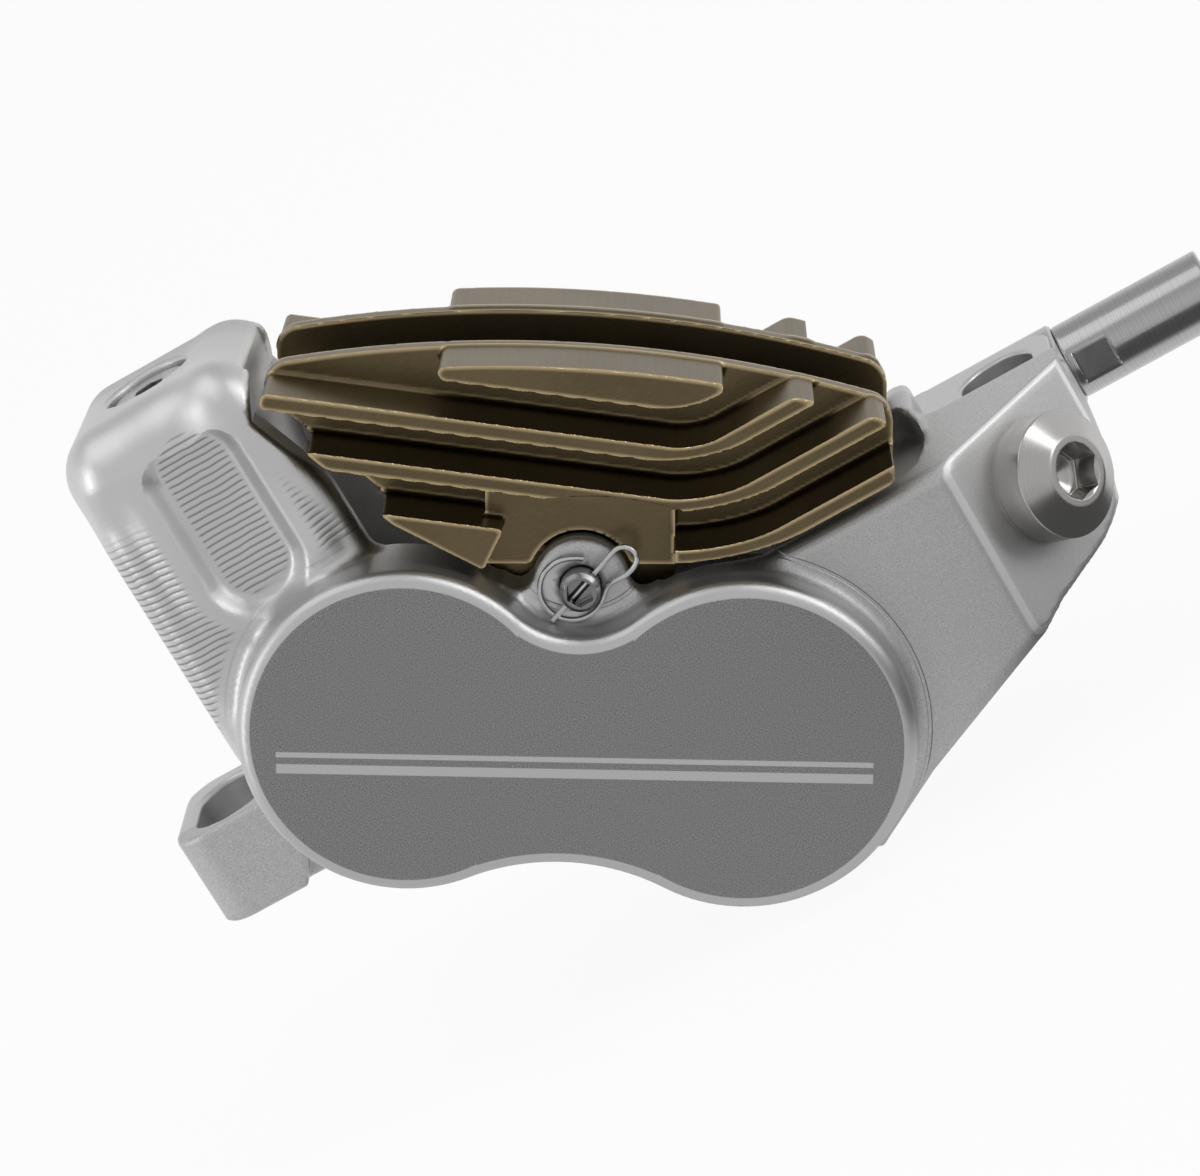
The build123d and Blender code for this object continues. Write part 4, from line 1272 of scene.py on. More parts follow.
@dataclass(frozen=True)
class RadiatorShape:
    """Finned radiator in the face frame, front side."""

    inner_y: float = 4.7
    root_y: float = 6.2
    tip_y: float = 12.4
    lug_y: float = 9.2
    fin_thick: float = 1.25
    fall: float = 7.5
    bend: Point2 = (3.2, 26.7)
    bend_step: Point2 = (1.05, -4.33)
    bend_r: float = 9.0
    bend_step_r: float = 4.5
    left: Point2 = (30.0, 32.4)
    left_x: float = -30.6
    crest: Point2 = (-8.0, 34.0)
    right: Point2 = (25.7, 29.6)
    right_x: float = 18.4
    hip: Point2 = (-20.5, 21.3)
    foot_z: float = 17.6
    neck: Point2 = (-13.4, 1.4)
    top_fin: Point2 = (-16.9, 5.4)
    slant: tuple[Point2, Point2] = ((-15.2, 14.0), (-13.0, 18.6))
    relief_centre: Point2 = (-5.2, 0.3)
    relief_r: float = 23.35
    relief_y: float = 11.7

    def crest_circle(self) -> tuple[Point2, float]:
        """Circle through the plate's three crest points.

        Returns:
            Its centre and radius.
        """
        (ax, az), (bx, bz), (cx, cz) = ((self.right_x, self.right[1]), self.crest,
                                        (self.left_x, self.left[1]))
        twice = 2 * (ax * (bz - cz) + bx * (cz - az) + cx * (az - bz))
        a2, b2, c2 = ax * ax + az * az, bx * bx + bz * bz, cx * cx + cz * cz
        x = (a2 * (bz - cz) + b2 * (cz - az) + c2 * (az - bz)) / twice
        z = (a2 * (cx - bx) + b2 * (ax - cx) + c2 * (bx - ax)) / twice
        return (x, z), math.hypot(ax - x, az - z)

    def path(self, x: Array, z: Array, index: int) -> Array:
        """Signed height below one fin's centre line.

        Args:
            x, z: Coordinates along and across the pistons.
            index: Number of the fin, from the top.

        Returns:
            Positive below the line, negative above it.
        """
        bend = (self.bend[0] + index * self.bend_step[0], self.bend[1] + index * self.bend_step[1])
        fall, rise = math.radians(self.fall), FACE_TURN
        left = half_plane(x, z, bend, (bend[0] - math.cos(fall), bend[1] + math.sin(fall)))
        right = half_plane(x, z, (bend[0] + math.cos(rise), bend[1] + math.sin(rise)), bend)
        turn = fall + rise
        radius = (self.bend_r + index * self.bend_step_r) * math.tan(turn / 2) * math.sin(turn)
        return both(-left, -right, radius)

    def band(self, x: Array, z: Array, index: int, above: float, below: float) -> Array:
        """Band along a fin's centre line."""
        line = self.path(x, z, index)
        return np.maximum(-line - above, line - below)

    def plate(self, x: Array, z: Array) -> Array:
        """Outline of the plate.

        Args:
            x, z: Coordinates along and across the pistons.

        Returns:
            Signed distance in the plane.
        """
        centre, radius = self.crest_circle()
        bend = (self.bend[0] + 2 * self.bend_step[0], self.bend[1] + 2 * self.bend_step[1] + 0.5)
        sides = polygon(x, z, [(self.left_x, 50.0), (self.left_x, self.left[0]), self.hip,
                               (self.neck[0], self.foot_z), (self.neck[1], self.foot_z), bend,
                               (self.right_x, self.right[0]), (self.right_x, 50.0)])
        return both(sides, circle(x, z, centre, radius), 1.6)

    def field(self, x: Array, y: Array, z: Array) -> Array:
        """The whole radiator.

        Args:
            x, y, z: Coordinates in the face frame; Y is taken on either side.

        Returns:
            Signed distance.
        """
        out = np.abs(y)
        blank, fins = self.outlines(x, z)
        body = np.maximum(blank, between(out, self.inner_y, self.root_y))
        raised = np.maximum(np.maximum(fins, out - self.tip_y), self.root_y - 0.6 - out)
        body = either(body, raised, 0.45)
        lug = self.lug(x, z)
        raised_lug = np.maximum(lug, between(out, self.root_y - 0.6, self.lug_y))
        body = either(body, raised_lug, 0.35)
        tongue = np.maximum(between(x, *self.neck), between(z, 13.6, 19.0))
        body = np.minimum(body, np.maximum(tongue, between(out, self.inner_y, self.root_y)))
        body = without(body, circle(x, z, BODY.pin, 1.75), 0.15)
        relief = np.maximum(circle(x, z, self.relief_centre, self.relief_r), self.relief_y - out)
        return without(body, np.maximum(relief, 21.5 - z))

    def outlines(self, x: Array, z: Array) -> tuple[Array, Array]:
        """Outlines of the plate with its low fin, and of all the fins.

        Args:
            x, z: Coordinates along and across the pistons.

        Returns:
            Both signed distances in the plane.
        """
        half = self.fin_thick / 2
        plate = self.plate(x, z)
        low_right = np.maximum(self.band(x, z, 2, half, half),
                               between(x, self.neck[1], self.right_x))
        top = both(self.band(x, z, -1, 20.0, 0.62), plate + 0.05, 0.8)
        fins = both(top, between(x, *self.top_fin), 0.7)
        for index in (0, 1):
            fin = both(self.band(x, z, index, half, half), plate + 0.02, 0.35)
            fins = np.minimum(fins, fin)
        low_left = both(self.band(x, z, 2, half, -self.bend_step[1]), plate + 0.02, 0.3)
        slant = half_plane(x, z, self.slant[0], self.slant[1])
        fins = np.minimum(fins, both(low_left, slant, 0.4))
        fins = np.minimum(fins, both(low_right, x - self.right_x, 0.4))
        return np.minimum(plate, low_right), fins

    def lug(self, x: Array, z: Array) -> Array:
        """Outline of the raised lug round the pin.

        Args:
            x, z: Coordinates along and across the pistons.

        Returns:
            Signed distance in the plane.
        """
        lug = np.maximum(self.band(x, z, 2, 4.0, 4.33), between(x, *self.neck))
        lug = np.maximum(lug, 17.2 - z)
        return without(lug, circle(x, z, BODY.pin, 4.15), 0.4)

    def edge_distance(self, x: Array, y: Array, z: Array) -> Array:
        """Distance from the nearest outer edge, along the surface, which places the painted edge
        highlight.

        Args:
            x, y, z: Coordinates in the face frame; Y is taken on either side.

        Returns:
            The distance, 0 on the edges.
        """
        out = np.abs(y)
        blank, fins = self.outlines(x, z)
        blank = np.abs(blank)
        edges = [np.maximum(np.abs(fins), self.tip_y - out),
                 np.maximum(blank, np.abs(self.root_y - out)),
                 np.maximum(blank, np.abs(out - self.inner_y)),
                 np.maximum(np.abs(self.lug(x, z)), np.abs(self.lug_y - out))]
        return np.clip(np.minimum.reduce(edges), 0, 2.0)


@dataclass
class BrakePads:
    """Sub-assembly: both finned radiators and the finishes of the pads' other pieces."""

    shape: RadiatorShape = RadiatorShape()
    bronze: BronzeAnodised = BronzeAnodised()
    plate: StampedSteel = StampedSteel("backplate_steel", (0.30, 0.30, 0.31), 1.0, 0.42, 3.0,
                                       0.006)
    compound: StampedSteel = StampedSteel("friction_compound", (0.070, 0.060, 0.055), 0.35, 0.72,
                                          2.4, 0.10, 0.55)
    spring: StampedSteel = StampedSteel("spring_steel", (0.40, 0.40, 0.41), 1.0, 0.26, 2.0, 0.003,
                                        0.1)
    low: Point2 = (-31.4, 12.9)
    high: Point2 = (19.3, 34.9)
    reach_y: Point2 = (4.1, 12.9)
    steps: Point2 = (0.26, 0.6)

    def build(self) -> None:
        """Make the radiators and dress the rest of the pads."""
        bronze = self.bronze.build()
        words = [side.word for side in Side]
        dress("backplate_{}", words, self.plate.build())
        dress("friction_{}", words, self.compound.build())
        dress("{}", ["pad_spring"], self.spring.build())
        for side in Side:
            near, far = sorted(side.value * y for y in self.reach_y)
            box = ((self.low[0], near, self.low[1]), (self.high[0], far, self.high[1]))
            carve(f"fins_{side.word}", f"radiator_{side.word}", side.pad, bronze,
                  self.shape.field, box, self.steps, Placement.face(), self.shape.edge_distance)
            Rivets(side).build()


@dataclass
class Rivets:
    """Both rivets of one pad, as one geometry node tree on two points."""

    side: Side
    places: tuple[Point2, ...] = ((-11.24, 17.6), (-0.64, 17.6))
    shank_r: float = 1.2
    head_r: float = 1.9
    inner_y: float = 2.5
    under_y: float = 3.2
    outer_y: float = 6.2

    def build(self) -> Object:
        """Make the rivets.

        Returns:
            Their object.
        """
        way = self.side.value
        tree = TurnedTree("rivet_row", {"Head Radius": self.head_r, "Shank Radius": self.shank_r,
                                        "Head Height": self.under_y - self.inner_y,
                                        "Shank Length": self.outer_y - self.under_y})
        end = "Head Height+Shank Length"
        profile = [("0", "0"), ("Head Radius*0.55", "0"), ("Head Radius*0.86", "Head Height*0.22"),
                   ("Head Radius", "Head Height*0.6"), ("Head Radius", "Head Height"),
                   ("Shank Radius", "Head Height"), ("Shank Radius", end + "*0.96"),
                   ("Shank Radius*0.9", end), ("0", end)]
        steel = TurnedMetal("rivet_steel", (0.42, 0.41, 0.40), 0.34, (0, 0, 0), (0, 1, 0)).build()
        points = [(x, way * self.inner_y, z) for x, z in (from_face(*p) for p in self.places)]
        mesh = tree.run(profile, points, (0, way, 0), steel, 32)
        word = self.side.word
        return add_object(mesh, f"rivet_heads_{word}", self.side.pad,
                          [f"rivets_{word}"])


# ---- Turned pieces on geometry nodes -----------------------------------------------------------


@dataclass
class TurnedTree:
    """Geometry node tree that turns a profile about an axis and sets it on points."""

    name: str
    sizes: dict[str, float]
    merge_mm: float = 0.002

    def _number(self, g: Nodes, entry: Node, words: str) -> Socket | float:
        """Read a length such as "Head Height+Shank Length*0.96" as nodes.

        Args:
            g: The tree's builder.
            entry: Its input node.
            words: Terms joined by plus signs; a term is a number, or an input's name with an
                optional factor.

        Returns:
            A socket, or a number where no input is named.
        """
        terms = []
        for term in words.split("+"):
            name, _, factor = term.partition("*")
            value = entry.outputs[name] if name in self.sizes else float(name) * MM
            terms.append(g.times(value, float(factor)) if factor else value)
        return g.plus(*terms)

    def _profile(self, g: Nodes, entry: Node, corners: Sequence[tuple[str, str]],
                 sides: int) -> Socket:
        """Turn the profile's corners about Z, as a grid that is wrapped and merged.

        Args:
            g: The tree's builder.
            entry: Its input node.
            corners: Radius and height of each corner, in words.
            sides: Steps of a full turn.

        Returns:
            The turned shape.
        """
        grid = g.node("GeometryNodeMeshGrid")
        grid.inputs["Vertices X"].default_value = len(corners)
        grid.inputs["Vertices Y"].default_value = sides + 1
        index = g.node("GeometryNodeInputIndex").outputs[0]
        row = g.math("FLOOR", g.math("DIVIDE", g.plus(index, 0.5), float(sides + 1)))
        column = g.math("SUBTRACT", index, g.times(row, float(sides + 1)))
        angle = g.times(column, -2 * math.pi / sides)
        switch = g.node("GeometryNodeIndexSwitch", data_type="VECTOR")
        for _ in range(len(corners) - 2):
            switch.index_switch_items.new()
        g.feed(switch.inputs["Index"], row)
        for place, (radius, height) in enumerate(corners):
            corner = g.node("ShaderNodeCombineXYZ", self._number(g, entry, radius), None,
                            self._number(g, entry, height))
            g.feed(switch.inputs[place + 1], corner.outputs[0])
        radius, _, height = g.split(switch.outputs[0])
        spread = g.node("ShaderNodeCombineXYZ", g.times(radius, g.math("COSINE", angle)),
                        g.times(radius, g.math("SINE", angle)), height)
        moved = g.node("GeometryNodeSetPosition", grid.outputs[0])
        g.feed(moved.inputs["Position"], spread.outputs[0])
        merged = g.node("GeometryNodeMergeByDistance", moved.outputs[0])
        merged.inputs["Distance"].default_value = self.merge_mm * MM
        return merged.outputs[0]

    def run(self, corners: Sequence[tuple[str, str]], points: Sequence[Point3], axis: Point3,
            material: Material, sides: int = 48) -> Mesh:
        """Build the tree, run it once and keep the plain mesh.

        Args:
            corners: Radius and height of each corner of the profile, in words.
            points: Places of the pieces.
            axis: Direction of the turned axis.
            material: Its finish.
            sides: Steps of a full turn.

        Returns:
            The mesh.
        """
        tree = bpy.data.node_groups.new(self.name, "GeometryNodeTree")
        g = Nodes(tree)

        def socket(name: str, kind: str, way: str = "INPUT") -> bpy.types.NodeTreeInterfaceSocket:
            """Add a named input or output to the tree."""
            return tree.interface.new_socket(name, in_out=way, socket_type=f"NodeSocket{kind}")

        socket("Geometry", "Geometry")
        socket("Geometry", "Geometry", "OUTPUT")
        values = {socket(name, "Float").identifier: size * MM for name, size in self.sizes.items()}
        values[socket("Finish", "Material").identifier] = material
        entry, leave = g.node("NodeGroupInput"), g.node("NodeGroupOutput")
        angle = g.node("GeometryNodeInputMeshEdgeAngle").outputs[0]
        shade = g.node("GeometryNodeSetShadeSmooth", self._profile(g, entry, corners, sides),
                       domain="EDGE")
        g.feed(shade.inputs["Shade Smooth"], g.math("LESS_THAN", angle, math.radians(32)))
        aim = g.node("GeometryNodeTransform", shade.outputs[0])
        aim.inputs["Rotation"].default_value = Vector(axis).to_track_quat("Z", "Y").to_euler()
        placed = g.node("GeometryNodeInstanceOnPoints", entry.outputs["Geometry"])
        g.feed(placed.inputs["Instance"], aim.outputs[0])
        real = g.node("GeometryNodeRealizeInstances", placed.outputs[0])
        finish = g.node("GeometryNodeSetMaterial", real.outputs[0])
        g.feed(finish.inputs["Material"], entry.outputs["Finish"])
        g.feed(leave.inputs[0], finish.outputs[0])
        return evaluated(tree, points, values)


def evaluated(tree: Tree, points: Sequence[Point3],
              values: dict[str, object]) -> Mesh:
    """Run a geometry node tree on a few points.

    Args:
        tree: The tree.
        points: Places in millimetres.
        values: Its inputs by socket identifier.

    Returns:
        The plain mesh that it makes.
    """
    carrier = bpy.data.meshes.new(tree.name)
    carrier.from_pydata([Vector(p) * MM for p in points], [], [])
    holder = linked(tree.name, carrier)
    modifier = holder.modifiers.new("made", "NODES")
    modifier.node_group = tree
    for identifier, value in values.items():
        modifier[identifier] = value
    mesh = solid_mesh(holder)
    holder.modifiers.remove(modifier)
    bpy.data.objects.remove(holder)
    return mesh


# ---- Seals and O-rings -------------------------------------------------------------------------


@dataclass(frozen=True)
class MouldedRubber:
    """Black moulded rubber with a faint bloom."""

    name: str = "rubber_black"
    level: float = 0.018

    def build(self) -> Material:
        """Make the material.

        Returns:
            The material.
        """
        g = Graph(self.name)
        bloom = g.noise(0.5)
        colour = g.mix(g.blend(bloom, 0.4, 0.8), grey(self.level), grey(self.level * 2.2))
        rough = g.math("MULTIPLY_ADD", bloom, 0.2, 0.48)
        return g.finish(colour, rough, 0.0, g.bump(g.noise(6.0, 3.0), 0.01))


@dataclass
class Rings:
    """Sub-assembly: round O-rings and square piston seals, each a turned profile."""

    rubber: MouldedRubber = MouldedRubber()
    cap_y: float = 12.8
    seal_y: Point2 = (8.2, 10.2)
    seal_gap: float = 0.02
    seal_wide: float = 1.55
    bleed_z: float = 43.1
    fitting_x: float = 38.75
    square: tuple[tuple[str, str], ...] = (
        ("Inner Radius", "Break"), ("Inner Radius+Break", "0"),
        ("Inner Radius+Width+Break*-1", "0"), ("Inner Radius+Width", "Break"),
        ("Inner Radius+Width", "Length+Break*-1"), ("Inner Radius+Width+Break*-1", "Length"),
        ("Inner Radius+Break", "Length"), ("Inner Radius", "Length+Break*-1"),
        ("Inner Radius", "Break"))

    def build(self) -> None:
        """Make every ring."""
        rubber = self.rubber.build()
        for word, (x, z), bore in BODY.bores():
            self._round(f"cap_oring_{word}", (x, self.cap_y, z), (0, 1, 0), bore + 1.6, 0.5, rubber)
        self._round("bleed_oring", (BODY.bleed_x, 0.0, self.bleed_z), (0, 0, 1), 3.05, 0.5, rubber)
        self._round("fitting_oring", (self.fitting_x, *BODY.port[1:]), (1, 0, 0), 2.0, 0.4, rubber)
        near, far = self.seal_y
        for side in Side:
            for word, (x, z), bore in BODY.bores():
                self._ring(f"seal_{side.word}_{word}", (x, side.value * near, z),
                           (0, side.value, 0), self.square, rubber,
                           {"Inner Radius": bore - self.seal_gap, "Width": self.seal_wide,
                            "Length": far - near, "Break": 0.15})

    def _round(self, node: str, place: Point3, axis: Point3, major: float, minor: float,
               rubber: Material) -> None:
        """Make one O-ring.

        Args:
            node: CAD node that it stands for.
            place: Its centre.
            axis: Its axis.
            major: Radius of its middle line.
            minor: Radius of its section.
            rubber: Its finish.
        """
        turns = [2 * math.pi * step / 16 for step in range(17)]
        corners = [(f"Major Radius+Minor Radius*{-math.cos(turn):.4f}",
                    f"Minor Radius*{-math.sin(turn):.4f}") for turn in turns]
        self._ring(node, place, axis, corners, rubber,
                   {"Major Radius": major, "Minor Radius": minor})

    def _ring(self, node: str, place: Point3, axis: Point3, corners: Sequence[tuple[str, str]],
              rubber: Material, sizes: dict[str, float]) -> None:
        """Make one ring of any section."""
        mesh = TurnedTree(f"tree_{node}", sizes).run(corners, [place], axis, rubber, 72)
        add_object(mesh, f"ring_{node}", Body.CALIPER, [node])


# ---- Turned and milled fittings ------------------------------------------------------------------


@dataclass
class PortPlug:
    """Sub-assembly: conical socket plug on the facet, with its crush washer."""

    foot: Point3 = BODY.plug_foot
    axis: Point3 = (math.sqrt(0.5), -math.sqrt(0.5), 0.0)
    radius: float = 5.1
    washer: float = 0.6
    shoulder: float = 3.3
    crown: float = 4.6
    crown_r: float = 2.9
    hex_wide: float = 4.0
    hex_deep: float = 2.4
    shank_r: float = 3.5
    shank_end: float = -5.9
    steps: Point2 = (0.14, 0.3)

    def field(self, x: Array, y: Array, z: Array) -> Array:
        """The plug, along its own axis.

        Args:
            x, y, z: Coordinates across and along its axis.

        Returns:
            Signed distance.
        """
        r = np.hypot(x, y)
        head = both(r - self.radius, between(z, self.washer, self.crown), 0.15)
        fall, out = self.crown - self.shoulder, self.radius - self.crown_r
        cone = ((r - self.radius) * fall + (z - self.shoulder) * out) / math.hypot(fall, out)
        head = both(head, cone, 0.08)
        mouth = both(hexagon(x, y, self.hex_wide), self.crown - self.hex_deep - z, 0.1)
        head = without(head, mouth, 0.0)
        lead = ((r - 2.15) + (self.crown - 0.12 - z)) * math.sqrt(0.5)
        head = without(head, lead, 0.05)
        drill = ((self.crown - self.hex_deep - 0.85 - z) + r * 0.5) / math.hypot(1, 0.5)
        head = without(head, both(drill, r - 1.75, 0.1), 0.08)
        shank = both(r - self.shank_r, between(z, self.shank_end, 1.0), 0.3)
        return np.minimum(head, shank)

    def build(self) -> None:
        """Make the plug and dress its washer."""
        reach = self.radius + 0.3
        steel = TurnedMetal("screw_steel", (0.50, 0.49, 0.475), 0.24, self.foot, self.axis, 0.08,
                            0.0035)
        box = ((-reach, -reach, self.shank_end - 0.2), (reach, reach, self.crown + 0.3))
        carve("plug_conical", "port_plug", Body.CALIPER, steel.build(), self.field,
              box, self.steps, Placement.along(self.foot, self.axis))
        washer = TurnedMetal("seal_metal", (0.50, 0.48, 0.45), 0.36, self.foot, self.axis, 0.3)
        dress("{}", ["port_seal"], washer.build())


@dataclass
class HoseEnd:
    """Sub-assembly: hose fitting tube with its wrench flats, and the gallery plug behind it."""

    place: Point3 = BODY.port
    tube_r: float = 3.3
    end_x: float = 56.0
    spigot_r: float = 2.4
    spigot_x: float = 34.3
    flat: float = 2.95
    flat_x: Point2 = (43.1, 46.3)
    bore_r: float = 2.5
    bore_deep: float = 9.0
    passage_r: float = 1.0
    groove_r: float = 1.6
    groove_x: Point2 = (38.2, 39.3)
    gallery: Point3 = (30.0, 0.0, 4.4)
    steps: Point2 = (0.18, 0.35)

    def field(self, x: Array, y: Array, z: Array) -> Array:
        """The fitting.

        Args:
            x, y, z: Coordinates along the tube and from its axis.

        Returns:
            Signed distance.
        """
        r = np.hypot(y, z)
        tube = both(r - self.tube_r, between(x, self.place[0] + 0.02, self.end_x), 0.3)
        flats = both(self.flat - np.abs(y), between(x, *self.flat_x), 0.0)
        tube = without(tube, flats, 0.08)
        spigot = both(r - self.spigot_r, between(x, self.spigot_x, self.place[0] + 0.4), 0.25)
        spigot = without(spigot, np.maximum(self.groove_r - r, between(x, *self.groove_x)))
        whole = np.minimum(tube, spigot)
        whole = without(whole, np.maximum(r - self.bore_r, self.end_x - self.bore_deep - x), 0.15)
        return without(whole, r - self.passage_r, 0.1)

    def build(self) -> None:
        """Make the fitting and dress the gallery plug."""
        reach = self.tube_r + 0.3
        metal = TurnedMetal("fitting_metal", (0.50, 0.50, 0.50), 0.20, self.place, (1, 0, 0), 0.12,
                            0.0015)
        box = ((self.spigot_x - 0.3, -reach, -reach), (self.end_x + 0.3, reach, reach))
        carve("hose_end", "hose_fitting", Body.CALIPER, metal.build(), self.field,
              box, self.steps, Placement((0.0, *self.place[1:])))
        plug = TurnedMetal("gallery_steel", (0.46, 0.45, 0.44), 0.30, self.gallery, (0, 1, 0))
        dress("{}", ["gallery_plug"], plug.build())


@dataclass
class BleedScrew:
    """Sub-assembly: hexagon socket bleed screw on top of the left arm."""

    place: Point3 = (BODY.bleed_x, 0.0, 0.0)
    thread_r: float = 2.5
    thread_z: float = 37.0
    under_z: float = 43.6
    top_z: float = 45.3
    head_r: float = 3.2
    hex_wide: float = 2.5
    hex_deep: float = 1.3
    steps: Point2 = (0.15, 0.3)

    def field(self, x: Array, y: Array, z: Array) -> Array:
        """The screw.

        Args:
            x, y, z: Coordinates from its axis.

        Returns:
            Signed distance.
        """
        r = np.hypot(x, y)
        head = both(r - self.head_r, between(z, self.under_z, self.top_z), 0.3)
        socket = both(hexagon(x, y, self.hex_wide), self.top_z - self.hex_deep - z)
        head = without(head, socket, 0.1)
        shank = both(r - self.thread_r, between(z, self.thread_z, self.under_z + 0.5), 0.4)
        return np.minimum(head, shank)

    def build(self) -> None:
        """Make the screw."""
        reach = self.head_r + 0.3
        steel = TurnedMetal("bleed_steel", (0.46, 0.455, 0.445), 0.28, self.place, (0, 0, 1), 0.12,
                            0.006)
        box = ((-reach, -reach, self.thread_z - 0.3), (reach, reach, self.top_z + 0.3))
        carve("screw_bleed", "bleed_screw", Body.CALIPER, steel.build(), self.field,
              box, self.steps, Placement(self.place))


@dataclass
class RetainingPin:
    """Sub-assembly: pad retaining pin and its ring clip."""

    pin: Point2 = BODY.pin
    radius: float = 1.6
    tip_y: float = -12.7
    head_y: Point2 = (10.6, 12.8)
    head_r: float = 2.7
    tip_hex: float = 2.0
    tip_deep: float = 1.1
    head_hex: float = 2.5
    head_deep: float = 1.4
    hole_y: float = -11.5
    hole_r: float = 0.34
    lean: float = 50.0
    wire_r: float = 0.22
    leg: Point2 = (-3.4, 4.1)
    bend_r: float = 1.0
    ring_centre: Point2 = (-6.6, 15.7)
    ring_r: float = 2.65
    ring_y: float = -11.0
    steps: Point2 = (0.11, 0.25)

    def field(self, x: Array, y: Array, z: Array) -> Array:
        """The pin, in the face frame about its own axis.

        Args:
            x, y, z: Coordinates from the axis.

        Returns:
            Signed distance.
        """
        r = np.hypot(x, z)
        shaft = bevelled(r - self.radius, between(y, self.tip_y, self.head_y[0] + 0.4), 0.32)
        tip = np.maximum(hexagon(x, z, self.tip_hex), y - self.tip_y - self.tip_deep)
        shaft = without(shaft, tip, 0.06)
        neck = both(np.abs(y - self.tip_y - 0.55) - 0.09, self.radius - 0.12 - r, 0.03)
        shaft = without(shaft, neck, 0.03)
        turn = math.radians(self.lean)
        across = np.hypot(z * math.cos(turn) - x * math.sin(turn), y - self.hole_y)
        shaft = without(shaft, across - self.hole_r, 0.05)
        head = both(r - self.head_r, between(y, *self.head_y), 0.35)
        socket = np.maximum(hexagon(x, z, self.head_hex), self.head_y[1] - self.head_deep - y)
        return without(np.minimum(shaft, head), socket, 0.08)

    def clip_route(self) -> list[Point3]:
        """Control points of the ring clip's wire, in the mounting frame.

        Returns:
            The points.
        """
        turn = math.radians(self.lean)
        ahead = Vector((math.cos(turn), math.sin(turn)))
        aside = Vector((ahead.y, -ahead.x))
        pin = Vector(self.pin)
        route = [(pin + ahead * s, self.hole_y) for s in (self.leg[0], -1.6, 0.0, 1.6, 3.0)]
        centre = pin + ahead * self.leg[1] + aside * self.bend_r
        for angle in map(math.radians, (-90, -50, 0, 50, 90)):
            arm = ahead * math.cos(angle) + aside * math.sin(angle)
            route.append((centre + arm * self.bend_r * 1.08, self.hole_y))
        route.append((centre + aside * self.bend_r - ahead * 1.2, self.hole_y + 0.05))
        for angle in map(math.radians, range(10, -291, -30)):
            arm = Vector((math.cos(angle), math.sin(angle)))
            route.append((Vector(self.ring_centre) + arm * self.ring_r, self.ring_y))
        return [(from_face(*place)[0], y, from_face(*place)[1]) for place, y in route]

    def build(self) -> None:
        """Make the pin and the clip."""
        reach = self.head_r + 0.25
        x, z = from_face(*self.pin)
        steel = TurnedMetal("pin_steel", (0.26, 0.26, 0.265), 0.22, (x, 0.0, z), (0, 1, 0), 0.10)
        box = ((-reach, self.tip_y - 0.2, -reach), (reach, self.head_y[1] + 0.2, reach))
        carve("pin_pad", "retaining_pin", Body.CALIPER, steel.build(), self.field, box,
              self.steps, Placement((x, 0.0, z), Placement.face().axes))
        self._clip()

    def _clip(self) -> None:
        """Make the clip as one bent wire."""
        data = bpy.data.curves.new("clip_route", "CURVE")
        data.dimensions = "3D"
        data.bevel_depth, data.bevel_resolution = self.wire_r * MM, 4
        data.use_fill_caps = True
        spline = data.splines.new("NURBS")
        points = self.clip_route()
        spline.points.add(len(points) - 1)
        for point, place in zip(spline.points, points):
            point.co = (*(c * MM for c in place), 1.0)
        spline.order_u, spline.use_endpoint_u, spline.resolution_u = 4, True, 6
        holder = linked("clip_route", data)
        mesh = solid_mesh(holder)
        bpy.data.objects.remove(holder)
        mesh.name = "clip_wire_ring"
        mesh.materials.clear()
        wire = TurnedMetal("clip_wire", (0.62, 0.62, 0.63), 0.22, (0, 0, 0), (0, 1, 0), 0.5, 0.002)
        mesh.materials.append(wire.build())
        mesh.polygons.foreach_set("use_smooth", np.ones(len(mesh.polygons), bool))
        add_object(mesh, "clip_wire_ring", Body.CALIPER, ["ring_clip"])


@dataclass
class BoreCaps:
    """Sub-assembly: both threaded bore caps and the four pistons' finish."""

    near_y: float = 12.3
    far_y: float = 14.6
    hole_r: float = 1.1
    hole_deep: float = 1.4
    hole_out: float = 6.4
    rebate: Point2 = (1.15, 1.05)
    clearance: float = 2.15
    steps: Point2 = (0.3, 0.6)

    def build(self) -> None:
        """Make the caps and dress the pistons."""
        for word, (x, z), bore in BODY.bores():
            axis = ((x, 0, z), (0, 1, 0))
            radius = bore + self.clearance
            reach = radius + 0.4
            turned = TurnedMetal(f"cap_{word}", (0.42, 0.42, 0.43), 0.33, *axis, 0.20, 0.006)
            box = ((-reach, self.near_y - 0.4, -reach), (reach, self.far_y + 0.4, reach))
            carve(f"cap_{word}", f"bore_cap_{word}", Body.CALIPER, turned.build(),
                  partial(self.field, radius), box, self.steps,
                  Placement(axis[0], Placement.face().axes))
            ground = TurnedMetal(f"piston_{word}", (0.52, 0.52, 0.50), 0.28, *axis, 0.2)
            dress("piston_{}_" + word, [side.word for side in Side], ground.build())

    def field(self, radius: float, x: Array, y: Array, z: Array) -> Array:
        """A cap about its own axis.

        Args:
            radius: Its radius.
            x, y, z: Coordinates from the axis.

        Returns:
            Signed distance.
        """
        r = np.hypot(x, z)
        disc = bevelled(r - radius, between(y, self.near_y, self.far_y), 0.4)
        rebate = np.maximum(radius - self.rebate[0] - r, y - self.near_y - self.rebate[1])
        disc = without(disc, rebate)
        for way in (-1, 1):
            hole = np.hypot(x - way * self.hole_out, z) - self.hole_r
            disc = without(disc, np.maximum(hole, self.far_y - self.hole_deep - y), 0.15)
        return disc


# ---- Studio ----------------------------------------------------------------------------------


